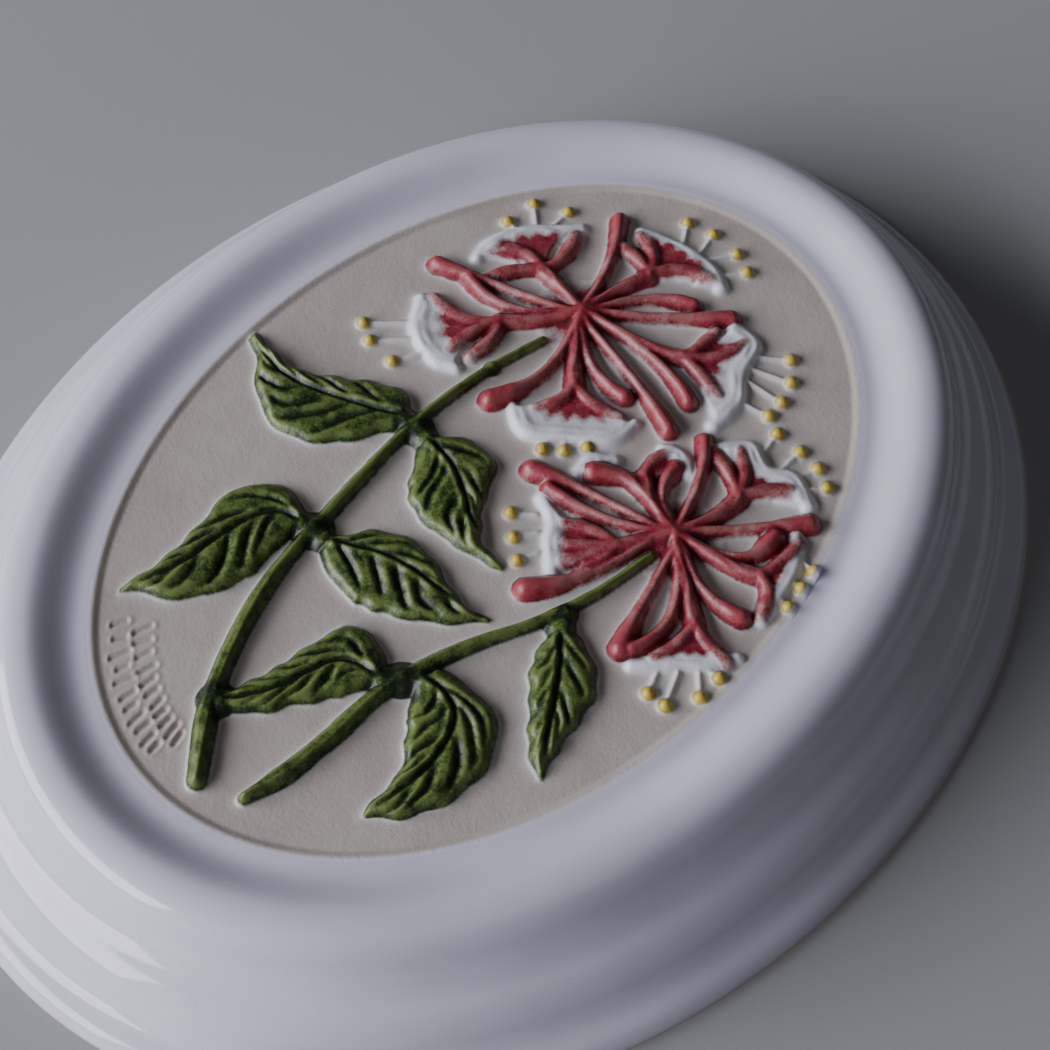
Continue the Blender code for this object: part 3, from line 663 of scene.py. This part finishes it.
def add_mouth(relief, number, throat, lip, reach):
    """A flower's flaring mouth: crimson at the throat, white towards its rolled and frilled lip."""
    path = smooth_path(lip, 8)
    throat = np.array(throat, dtype=float)
    outline = mouth_outline(path, throat)
    where = relief.near(outline)
    x, y = relief.x[where], relief.y[where]
    to_lip, along, _ = follow(x, y, path)
    frill = 0.35 * np.sin(along * 15 + number) + 0.22 * np.sin(along * 29 + 2 * number)
    depth = outline_distance(x, y, outline) + frill + MOUTH_OUTSET
    inner = np.clip(depth, 0, None)
    shoulder = np.clip(inner / MOUTH_SHOULDER, 0, 1)
    top = LIP_RISE * (1 - (1 - shoulder) ** 2) ** 0.8
    roll = LIP_ROLL * np.exp(-(to_lip - LIP_ROLL_INSET) ** 2) * shoulder
    top += roll * (1 + 0.3 * np.sin(along * 22 + number))
    top = np.where(depth > 0, top, depth * FOOT_SLOPE)
    from_throat = np.hypot(x - throat[0], y - throat[1])
    share = from_throat / (from_throat + to_lip + TINY)
    streaks = 0.05 * np.sin(np.arctan2(y - throat[1], x - throat[0]) * 17 + number)
    red = MOUTH_RED * (1 - smooth((share + streaks - reach) / 0.4)) * smooth((inner - 0.1) / 1.2)
    relief.lay(where, top, {"crimson": red, "lip": 1 - smooth((red - 0.2) / 0.5)})
    radii = [LIP_ROUND_WIDTH / 2 * (1 + 0.16 * math.sin(2.3 * step + number)) for step in range(7)]
    end_rise = LIP_ROUND_RISE * LIP_END_SHARE
    add_strand(relief, path, radii, (end_rise, LIP_ROUND_RISE, end_rise), "lip", fullness=2.0)


def add_trumpet(relief, heart, tube, lobes):
    """A flower's tube and the lobes that part at its throat."""
    radii = [LOBE_WIDTH * share for share in LOBE_WIDTH_SHARES]
    rises = [TUBE_RISE * 0.95, *(LOBE_RISE * share for share in LOBE_RISE_SHARES)]
    for corner, end in lobes:
        path = bent_path(tube[2], corner, end)
        add_strand(relief, path, radii, rises, "crimson", LOBE_STRENGTHS, fullness=2.6)
    start = TUBE_START_WIDTH / 2
    radii = [start, start, THROAT_WIDTH * 0.42, THROAT_WIDTH / 2]
    rises = [HEART_RISE, TUBE_RISE * 1.1, TUBE_RISE, TUBE_RISE * 0.95]
    path = from_heart(heart, *tube)
    add_strand(relief, path, radii, rises, "crimson", TUBE_STRENGTHS, flutes=0.12)


def add_head(relief, heart, buds, trumpets, filaments):
    """One flower head: filaments, mouths, heart, trumpets, buds and pollen tips."""
    radii, rises = (FILAMENT_WIDTH / 2,) * 2, (FILAMENT_RISE * 1.3, FILAMENT_RISE)
    for filament in filaments:
        path = np.array(filament, dtype=float)
        add_strand(relief, path, radii, rises, "lip", (FILAMENT_STRENGTH,))
    for number, (tube, _, lip, reach) in enumerate(trumpets):
        add_mouth(relief, number, tube[2], lip, reach)
    add_dome(relief, heart, HEART_RADIUS, HEART_MOUND_RISE, "crimson", HEART_RIM_STRENGTH,
             fullness=1.3, draft=1.6)
    for tube, lobes, _, _ in trumpets:
        add_trumpet(relief, heart, tube, lobes)
    for bud in buds:
        add_bud(relief, heart, *bud)
    for _, end in filaments:
        add_dome(relief, end, ANTHER_RADIUS, ANTHER_RISE, "yellow", fullness=2.4, draft=0.8)


def oval_point(angle, outward):
    """Points a set distance outside the panel's oval, where the oval faces the given angles."""
    facing_x, facing_y = np.cos(angle), np.sin(angle)
    reach = np.hypot(PANEL_HALF_WIDTH * facing_x, PANEL_HALF_HEIGHT * facing_y)
    x = PANEL_HALF_WIDTH ** 2 * facing_x / reach + outward * facing_x
    y = PANEL_HALF_HEIGHT ** 2 * facing_y / reach + outward * facing_y
    return x, y


def press_strokes(relief):
    """Press rows of shallow strokes along the panel's edge, each with a low burr round it."""
    first, last = STROKE_ANGLES
    turn = np.random.default_rng(STROKE_SEED)
    for row, inset in enumerate(STROKE_ROWS):
        for number in range(STROKES_PER_ROW):
            place_in_row = number + 0.5 * row + turn.uniform(-STROKE_STRAY, STROKE_STRAY)
            angle = math.radians(first + (last - first) * place_in_row / STROKES_PER_ROW)
            stray = turn.uniform(-STROKE_INSET_STRAY, STROKE_INSET_STRAY)
            middle = np.array(oval_point(angle, STEP_START - inset + stray))
            lean = angle + math.radians(STROKE_LEAN * turn.uniform(0.5, 1.5))
            along = np.array((math.cos(lean), math.sin(lean)))
            half = along * STROKE_HEIGHT / 2 * turn.uniform(0.55, 1.1)
            path = np.array([middle - half, middle + half])
            where = relief.near(path, STROKE_REACH)
            distance, _, _ = follow(relief.x[where], relief.y[where], path)
            groove = STROKE_DEPTH * np.exp(-(distance / (STROKE_WIDTH / 2)) ** 4)
            burr = STROKE_BURR * np.exp(-((distance - STROKE_WIDTH) / STROKE_BURR_WIDTH) ** 2)
            bare = 1 - relief.covered[where]
            relief.height[where] += (burr - groove) * bare


def raise_spray(relief):
    """Stems, leaves and nodes, then the flower heads over them."""
    for layer, path in enumerate((LEFT_STEM, RIGHT_STEM)):
        uneven = 1 + STEM_UNEVENNESS * np.sin(np.arange(STEM_STATIONS) * 2.1 + layer)
        widths = np.linspace(STEM_FOOT_WIDTH, STEM_TIP_WIDTH, STEM_STATIONS) * uneven
        widths[0] *= STEM_FOOT_SHARES[layer]
        path = smooth_path(path, 6)
        add_strand(relief, path, widths / 2, (STEM_RISE,), "green", flutes=0.13)
    for number, leaf in enumerate(LEAVES.values()):
        add_leaf(relief, number, *leaf)
    for spot, radius in STEM_NODES:
        add_dome(relief, spot, radius, NODE_RISE, "green", fullness=1.8, draft=1.0)
    add_head(relief, LEFT_HEART, LEFT_BUDS, LEFT_TRUMPETS, LEFT_FILAMENTS)
    add_head(relief, RIGHT_HEART, RIGHT_BUDS, RIGHT_TRUMPETS, RIGHT_FILAMENTS)


def sculpt():
    """Carve the whole spray, soften its surface and note where glaze pools."""
    relief = Relief()
    raise_spray(relief)
    press_strokes(relief)
    inside = relief.blurred(relief.covered, 0.5)
    skirt = FOOT_SKIRT * relief.blurred(relief.covered, FOOT_REACH)
    relief.height += skirt * (1 - relief.covered)
    relief.height = relief.blurred(relief.height, SOFTENING)
    for name in GLAZES:
        relief.glaze[name] = relief.blurred(relief.glaze[name], SOFTENING)
    hollow = relief.blurred(relief.height, HOLLOW_REACH) - relief.height
    kept = np.where(relief.covered > 0.5, smooth((inside - 0.55) / 0.4), 1.0)
    relief.hollow = np.where(hollow > 0, hollow * relief.blurred(kept, SOFTENING), hollow)
    for spot, radius in STEM_NODES:
        away = np.hypot(relief.x - spot[0], relief.y - spot[1])
        relief.hollow += NODE_SHADE * np.exp(-(away / radius / 1.2) ** 2)
    halo = relief.blurred(relief.covered, FOOT_REACH) * HALO_STRENGTH
    relief.halo = np.clip(halo, 0, 1)
    return relief


def grid_faces(index):
    """Quads between neighbours in a grid of point numbers."""
    corners = [index[:-1, :-1], index[:-1, 1:], index[1:, 1:], index[1:, :-1]]
    return np.stack(corners, axis=-1).reshape(-1, 4)


def make_mesh(name, points, quads, polygons=(), normals=None, values=None):
    """Build a smooth mesh, with further polygons, set normals and point values if given."""
    mesh = bpy.data.meshes.new(name)
    faces = quads.tolist() + [polygon.tolist() for polygon in polygons]
    mesh.from_pydata(points.tolist(), [], faces, shade_flat=False)
    if normals is not None:
        mesh.normals_split_custom_set_from_vertices(normals.astype(np.float32))
    for label, value in (values or {}).items():
        attribute = mesh.attributes.new(label, "FLOAT", "POINT")
        attribute.data.foreach_set("value", value.astype(np.float32))
    piece = bpy.data.objects.new(name, mesh)
    scene.collection.objects.link(piece)
    return piece


def relief_tile(name, relief, rows, columns, material):
    """One quarter of the panel: the carved face, straight joints and a flat underside."""
    block = (slice(rows[0], rows[1] + 1), slice(columns[0], columns[1] + 1))
    heights = relief.total[block]
    top = np.stack([relief.x[block], relief.y[block], heights], axis=-1).reshape(-1, 3)
    index = np.arange(len(top)).reshape(heights.shape)
    rim = np.concatenate([index[0, :-1], index[:-1, -1], index[-1, :0:-1], index[:0:-1, 0]])
    low = top[rim].copy()
    low[:, 2] = PANEL_FACE - PANEL_THICKNESS
    foot = np.arange(len(rim)) + len(top)
    walls = np.stack([np.roll(rim, -1), rim, foot, np.roll(foot, -1)], axis=-1)
    quads = np.vstack([grid_faces(index), walls])
    backward = np.tile((0.0, 1.0, 0.0), (len(rim), 1))
    normals = np.vstack([relief.normals[block].reshape(-1, 3), backward])
    values = {}
    for label, field in relief.fields.items():
        underside = 1.0 if label == "border" else 0.0
        values[label] = np.concatenate([field[block].ravel(), np.full(len(rim), underside)])
    points = place(np.vstack([top, low]))
    piece = make_mesh(name, points, quads, [foot[::-1]], normals, values)
    piece.data.materials.append(material)
    piece.shadow_terminator_geometry_offset = 0.35
    return piece


def build_relief(material):
    """The carved panel in four tiles with one continuous surface."""
    relief = sculpt()
    uneven = sum(height * waves(relief.x, relief.y, seed, wavelength)
                 for height, seed, wavelength in PANEL_UNEVENNESS)
    uneven = uneven * smooth(-relief.outward / 4)
    relief.total = base_height(relief.outward) + relief.height + uneven
    steps = [np.gradient(field) for field in (relief.x, relief.y, relief.total)]
    up, along = (np.stack([step[axis] for step in steps], axis=-1) for axis in (0, 1))
    facing = np.cross(along, up)
    facing /= np.maximum(np.linalg.norm(facing, axis=-1, keepdims=True), 1e-9)
    relief.normals = np.stack([facing[..., 0], -facing[..., 2], facing[..., 1]], axis=-1)
    relief.fields = dict(relief.glaze, hollow=relief.hollow, halo=relief.halo,
                         border=smooth((relief.outward - WHITE_START) / WHITE_EASE))
    middle_row, middle_column = relief.rows // 2, relief.columns // 2
    halves = {"left": (0, middle_column), "right": (middle_column, relief.columns - 1)}
    pieces = []
    for level, rows in (("lower", (0, middle_row)), ("upper", (middle_row, relief.rows - 1))):
        for side, columns in halves.items():
            pieces.append(relief_tile(f"relief_{level}_{side}", relief, rows, columns, material))
    return pieces


def back_profile():
    """Cross-section of the hollow back, from the border's foot in to the panel's underside."""
    inset = BORDER_WALL * math.sqrt(0.5)
    rim_edge = BORDER_WIDTH - BACK_RIM_WIDTH
    foot = from_outer_edge(UPPER_ROLL_FOOT)
    start = from_outer_edge(UPPER_ROLL_START)
    stations = [(BORDER_WIDTH, 0.0), (rim_edge + 0.5, 0.0), (rim_edge, 0.25)]
    for spot in (foot, start, CREST_FOOT):
        stations.append((spot[0] - inset, spot[1] - inset))
    stations.append((CREST[0], CREST[1] - BORDER_WALL))
    stations.append((HOLLOW_PANEL_EDGE, PANEL_FACE - PANEL_THICKNESS))
    points = [stations[0], (BORDER_WIDTH - 2, 0.0), (rim_edge + 2, 0.0), stations[1]]
    for before, corner, after in zip(stations[1:], stations[2:], stations[3:]):
        entry = [(b + 2 * c) / 3 for b, c in zip(before, corner)]
        leave = [(a + 2 * c) / 3 for a, c in zip(after, corner)]
        points += [entry] + bend(entry, corner, leave, 4)
    return points + [stations[-1]]


def build_border(material):
    """The moulded ring round the panel, down to the wall and back through the hollow."""
    front = [point for point in PROFILE if point[0] > 0.05]
    seam = [(-SEAM_OVERLAP, base_height(-SEAM_OVERLAP) - SEAM_DROP), (0.0, base_height(0.0) - 0.01)]
    inner_end = (-SEAM_OVERLAP, PANEL_FACE - PANEL_THICKNESS - SEAM_DROP)
    profile = np.array(seam + front + back_profile()[1:] + [inner_end])
    angle = np.linspace(0, 2 * np.pi, BORDER_SIDES, endpoint=False)
    x, y = oval_point(angle[None, :], profile[:, :1])
    height = np.broadcast_to(profile[:, 1:], x.shape)
    facing_front = (np.arange(len(profile)) < len(seam) + len(front) - 1)[:, None]
    easing = smooth(profile[:, :1] / 6) * smooth(height / 5) * facing_front
    height = height + HAND_WOBBLE * easing * waves(x, y, WOBBLE_SEED, WOBBLE_LENGTH)
    points = place(np.stack([x, y, height], axis=-1)).reshape(-1, 3)
    index = np.arange(len(points)).reshape(x.shape)
    quads = grid_faces(np.pad(index, ((0, 1), (0, 1)), mode="wrap"))[:, ::-1]
    flat_rim = (profile[:, 1] < 0.3) & (profile[:, 0] > BORDER_WIDTH - BACK_RIM_WIDTH - 0.2)
    bare = np.repeat(flat_rim.astype(float), BORDER_SIDES)
    piece = make_mesh("moulded_border", points, quads, values={"bare": bare})
    piece.data.set_sharp_from_angle(angle=math.radians(60))
    piece.data.materials.append(material)
    return piece


class Nodes:
    """Short names for building one material's nodes."""

    def __init__(self, name):
        self.material = bpy.data.materials.new(name)
        self.material.use_nodes = True
        self.tree = self.material.node_tree
        self.shader = self.tree.nodes["Principled BSDF"]
        self.where = self.add("TexCoord").outputs["Object"]

    def feed(self, socket, value):
        """Link a socket to another one, or give it a plain value."""
        if isinstance(value, bpy.types.NodeSocket):
            self.tree.links.new(value, socket)
        else:
            socket.default_value = value

    def add(self, kind, inputs=None, **settings):
        """Add a node, set its own values, and feed its inputs by name or number."""
        node = self.tree.nodes.new("ShaderNode" + kind)
        for key, value in settings.items():
            setattr(node, key, value)
        for key, value in (inputs or {}).items():
            self.feed(node.inputs[key], value)
        return node

    def set(self, **inputs):
        """Feed the shader's inputs, with underscores for the spaces in their names."""
        for name, value in inputs.items():
            self.feed(self.shader.inputs[name.replace("_", " ")], value)

    def value(self, name):
        return self.add("Attribute", attribute_name=name).outputs["Fac"]

    def noise(self, size_mm, detail=3.0, roughness=0.5):
        """Noise from 0 to 1 with features of about this size."""
        return self.add("TexNoise", {"Vector": self.where, "Scale": 1 / (size_mm * MM),
                                     "Detail": detail, "Roughness": roughness}).outputs["Fac"]

    def math(self, operation, first, second):
        return self.add("Math", {0: first, 1: second}, operation=operation).outputs[0]

    def plus(self, first, second, share):
        """The first value with a share of the second added."""
        return self.math("ADD", first, self.math("MULTIPLY", second, share))

    def span(self, value, low, high, start=0.0, end=1.0):
        """Map low..high to start..end, clamped."""
        return self.add("MapRange", {"Value": value, "From Min": low, "From Max": high,
                                     "To Min": start, "To Max": end}).outputs["Result"]

    def ramp(self, value, stops):
        """A colour that runs through stops of position and colour."""
        node = self.add("ValToRGB", {"Fac": value})
        elements = node.color_ramp.elements
        while len(elements) < len(stops):
            elements.new(0.5)
        for element, (position, colour) in zip(elements, stops):
            element.position = position
            element.color = (*colour, 1.0)
        return node.outputs["Color"]

    def mix(self, share, first, second):
        first, second = (value if isinstance(value, bpy.types.NodeSocket) else (*value, 1.0)
                         for value in (first, second))
        return self.add("Mix", {"Factor": share, 6: first, 7: second}, data_type="RGBA").outputs[2]

    def bump(self, height, strength, distance_mm):
        """Roughen the surface finely by a height."""
        self.set(Normal=self.add("Bump", {"Height": height, "Strength": strength,
                                          "Distance": distance_mm * MM}).outputs["Normal"])


# Colours of the glazes and the clay. Stops run from where a glaze lies thin to where it pools
WHITE_GLAZE = (0.76, 0.748, 0.90)
WHITE_GLAZE_THIN = (0.70, 0.69, 0.82)
WHITE_GLAZE_SPECK = (0.45, 0.40, 0.36)
CREAM_GLAZE = (0.52, 0.44, 0.415)
CREAM_GLAZE_LIGHT = (0.585, 0.515, 0.49)
CREAM_GLAZE_FLECK = (0.60, 0.56, 0.535)
CREAM_GLAZE_POOLED = (0.33, 0.27, 0.22)
CREAM_GLAZE_HALO = (0.70, 0.69, 0.685)
LIP_GLAZE = (0.84, 0.85, 0.93)
LIP_GLAZE_POOLED = (0.66, 0.62, 0.66)
CLAY = (0.60, 0.54, 0.46)
CLAY_DARK = (0.49, 0.43, 0.36)
GREEN_STOPS = (
    (0.06, (0.145, 0.195, 0.054)), (0.30, (0.082, 0.125, 0.028)), (0.50, (0.040, 0.075, 0.016)),
    (0.68, (0.014, 0.029, 0.008)), (0.90, (0.007, 0.014, 0.005)),
)
CRIMSON_STOPS = (
    (0.04, (0.39, 0.135, 0.138)), (0.28, (0.33, 0.070, 0.080)), (0.52, (0.28, 0.030, 0.050)),
    (0.74, (0.19, 0.013, 0.025)), (0.96, (0.11, 0.007, 0.014)),
)
THICK_CRIMSON_STOPS = (
    (0.10, (0.36, 0.060, 0.074)), (0.5, (0.28, 0.019, 0.036)), (0.9, (0.13, 0.008, 0.016)),
)
YELLOW_STOPS = (
    (0.1, (0.60, 0.44, 0.085)), (0.5, (0.49, 0.335, 0.040)), (0.9, (0.22, 0.13, 0.02)),
)


def border_material():
    """Thick white glaze, thinner and greyer in places, and bare fired clay on the back rim."""
    n = Nodes("white_glaze")
    cloud = n.noise(28.0, 2.0)
    fine = n.noise(0.9, 2.0)
    glaze = n.mix(n.span(cloud, 0.35, 0.7), WHITE_GLAZE, WHITE_GLAZE_THIN)
    specks = n.span(n.noise(0.7, 0.0), 0.8, 0.84)
    glaze = n.mix(n.math("MULTIPLY", specks, 0.25), glaze, WHITE_GLAZE_SPECK)
    clay = n.mix(n.span(n.noise(1.6, 4.0), 0.3, 0.75), CLAY, CLAY_DARK)
    ragged = n.math("SUBTRACT", n.noise(4.0), 0.5)
    bare = n.span(n.plus(n.value("bare"), ragged, 0.5), 0.4, 0.6)
    rough = n.plus(n.span(fine, 0.3, 0.7, 0.07, 0.12), bare, 0.55)
    n.set(Base_Color=n.mix(bare, glaze, clay), Roughness=rough, IOR=1.52)
    n.bump(n.plus(n.noise(9.0, 1.0), fine, 0.06), 0.2, 0.22)
    return n.material


def ground_colour(n, hollow, fine):
    """Cream glaze of the panel, darker where it pools and paler in a ring round the spray."""
    ground = n.mix(n.span(n.noise(16.0, 2.0), 0.3, 0.7), CREAM_GLAZE, CREAM_GLAZE_LIGHT)
    ground = n.mix(n.span(fine, 0.55, 0.8, 0.0, 0.3), ground, CREAM_GLAZE_FLECK)
    ground = n.mix(n.span(hollow, 0.05, 0.45, 0.0, 0.55), ground, CREAM_GLAZE_POOLED)
    return n.mix(n.math("MULTIPLY", n.value("halo"), 0.75), ground, CREAM_GLAZE_HALO)


def relief_material():
    """Glazes of the panel: cream ground, green, crimson, white and yellow."""
    n = Nodes("relief_glazes")
    hollow = n.value("hollow")
    fine = n.noise(0.55, 3.0, 0.6)
    patch = n.noise(2.6, 3.0, 0.6)
    grain = n.math("SUBTRACT", fine, 0.5)
    blotch = n.math("SUBTRACT", patch, 0.5)
    ground = ground_colour(n, hollow, fine)
    depth = n.span(hollow, -0.32, 0.38)
    mottle = n.plus(n.math("MULTIPLY", blotch, 1.9), grain, 1.1)
    pooled = n.math("ADD", depth, mottle)
    pooled_red = n.plus(depth, mottle, 0.85)
    green, crimson, lip, yellow = (n.value(name) for name in GLAZES)
    thick = n.span(crimson, 0.75, 1.0)
    red = n.mix(thick, n.ramp(pooled_red, CRIMSON_STOPS), n.ramp(pooled_red, THICK_CRIMSON_STOPS))
    white = n.mix(n.span(hollow, -0.2, 0.3), LIP_GLAZE, LIP_GLAZE_POOLED)
    blushing = n.plus(n.math("MULTIPLY", blotch, 0.5), grain, 0.25)
    blush = n.span(n.math("ADD", crimson, blushing), 0.10, 0.52)
    colour = n.mix(n.span(lip, 0.15, 0.75), ground, white)
    colour = n.mix(blush, colour, red)
    leafy = n.span(n.plus(green, grain, 0.3), 0.25, 0.75)
    colour = n.mix(leafy, colour, n.ramp(pooled, GREEN_STOPS))
    colour = n.mix(n.span(yellow, 0.25, 0.75), colour, n.ramp(pooled, YELLOW_STOPS))
    border = n.span(n.plus(n.value("border"), grain, 0.2), 0.1, 0.9)
    painted = border
    for amount in (green, yellow, crimson, lip):
        painted = n.math("MAXIMUM", painted, amount)
    rough = n.plus(n.span(patch, 0.3, 0.7, 0.40, 0.54), painted, -0.13)
    rough = n.plus(rough, green, 0.04)
    n.set(Base_Color=n.mix(border, colour, WHITE_GLAZE), Roughness=rough, IOR=1.5)
    n.bump(n.plus(n.math("MULTIPLY", fine, 0.6), patch, 0.8), 0.5, 0.25)
    return n.material


def plain_material(name, colour, roughness, one_sided):
    """A plain matt surface for what the plaque is shown on, seen through from behind if asked."""
    n = Nodes(name)
    shade = n.noise(180.0, 2.0)
    lighter = tuple(channel * 1.04 for channel in colour)
    n.set(Base_Color=n.mix(n.span(shade, 0.3, 0.7), colour, lighter), Roughness=roughness)
    n.bump(n.noise(1.2, 3.0), 0.12, 0.2)
    if one_sided:
        behind = n.add("NewGeometry").outputs["Backfacing"]
        clear = n.add("BsdfTransparent").outputs["BSDF"]
        seen = n.add("MixShader", {"Fac": behind, 1: n.shader.outputs["BSDF"], 2: clear})
        n.feed(n.tree.nodes["Material Output"].inputs["Surface"], seen.outputs["Shader"])
    return n.material


def flat_sheet(name, corners, colour, roughness, one_sided=False):
    """One flat face of the stage, with a plain material of its own."""
    sheet = make_mesh(name, np.array(corners), np.array([(0, 1, 2, 3)]))
    sheet.data.materials.append(plain_material(name, colour, roughness, one_sided))
    return sheet


def build_stage():
    """A pale wall that the plaque hangs on, open from behind, and a pale floor well below it."""
    side, back, low = STAGE_HALF, WALL_GAP, FLOOR_HEIGHT
    upright = [(-side, back, low), (side, back, low), (side, back, side), (-side, back, side)]
    level = [(-side, -side, low), (side, -side, low), (side, side, low), (-side, side, low)]
    wall = flat_sheet("pale_wall", upright, WALL_COLOUR, 0.75, one_sided=True)
    wall.visible_shadow = False
    floor = flat_sheet("pale_floor", level, FLOOR_COLOUR, 0.7)


def from_view(spot):
    """A direction or offset given in the view's own axes, in the hung plaque's axes."""
    x = spot[0] * math.cos(PLAQUE_TURN) + spot[1] * math.sin(PLAQUE_TURN)
    y = -spot[0] * math.sin(PLAQUE_TURN) + spot[1] * math.cos(PLAQUE_TURN)
    return Vector((x, -spot[2], y))


def turned(right, up, back):
    """Rotation that sets an object's own axes to three directions given in the view's axes."""
    return Matrix([from_view(right), from_view(up), from_view(back)]).transposed().to_4x4()


PANEL_CENTRE = Vector((0.0, 0.0, -ORIGIN_ABOVE_CENTRE * MM))


def build_camera():
    """The photograph's camera, seen from the hung plaque."""
    ahead = Vector((0, math.cos(VIEW_ELEVATION), -math.sin(VIEW_ELEVATION)))
    down = Vector((0, -math.sin(VIEW_ELEVATION), -math.cos(VIEW_ELEVATION)))
    right = Vector((1, 0, 0))
    rolled_right = right * math.cos(VIEW_ROLL) + down * math.sin(VIEW_ROLL)
    rolled_down = -right * math.sin(VIEW_ROLL) + down * math.cos(VIEW_ROLL)
    spot = (Vector((AIM[0], AIM[1], 0)) - ahead * AIM_DISTANCE) * MM
    data = bpy.data.cameras.new("camera")
    data.sensor_width = SENSOR_WIDTH
    data.lens = PHOTO_FOCAL * SENSOR_WIDTH / PHOTO_SIDE
    data.shift_x = (PHOTO_SIDE / 2 - PHOTO_CENTRE[0]) / PHOTO_SIDE
    data.shift_y = (PHOTO_CENTRE[1] - PHOTO_SIDE / 2) / PHOTO_SIDE
    data.clip_start = 0.01
    data.clip_end = 20
    camera = bpy.data.objects.new("camera", data)
    facing = turned(rolled_right, -rolled_down, -ahead)
    camera.matrix_world = Matrix.Translation(PANEL_CENTRE + from_view(spot)) @ facing
    scene.collection.objects.link(camera)
    scene.camera = camera


def add_light(name, towards, distance, size, power, colour):
    """A rectangular soft light that faces the plaque from a direction in the view's axes."""
    towards = Vector(towards).normalized()
    across = Vector((0, 0, 1)).cross(towards).normalized()
    data = bpy.data.lights.new(name, "AREA")
    data.shape = "RECTANGLE"
    data.size, data.size_y = size
    data.energy = power
    data.color = colour
    light = bpy.data.objects.new(name, data)
    facing = turned(across, towards.cross(across), towards)
    light.matrix_world = Matrix.Translation(PANEL_CENTRE + from_view(towards * distance)) @ facing
    scene.collection.objects.link(light)


def build_light():
    """A long cool window low at the picture's left, a fill, a light behind and an even dim room."""
    for name, values in LIGHTS.items():
        add_light(name, *values)
    world = bpy.data.worlds.new("room")
    world.use_nodes = True
    room = world.node_tree.nodes["Background"].inputs
    room["Color"].default_value = ROOM_COLOUR
    room["Strength"].default_value = ROOM_STRENGTH
    scene.world = world


pieces = build_relief(relief_material()) + [build_border(border_material())]
for piece in pieces:
    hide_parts("plaque")
    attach(piece, "root")
build_stage()
build_camera()
build_light()
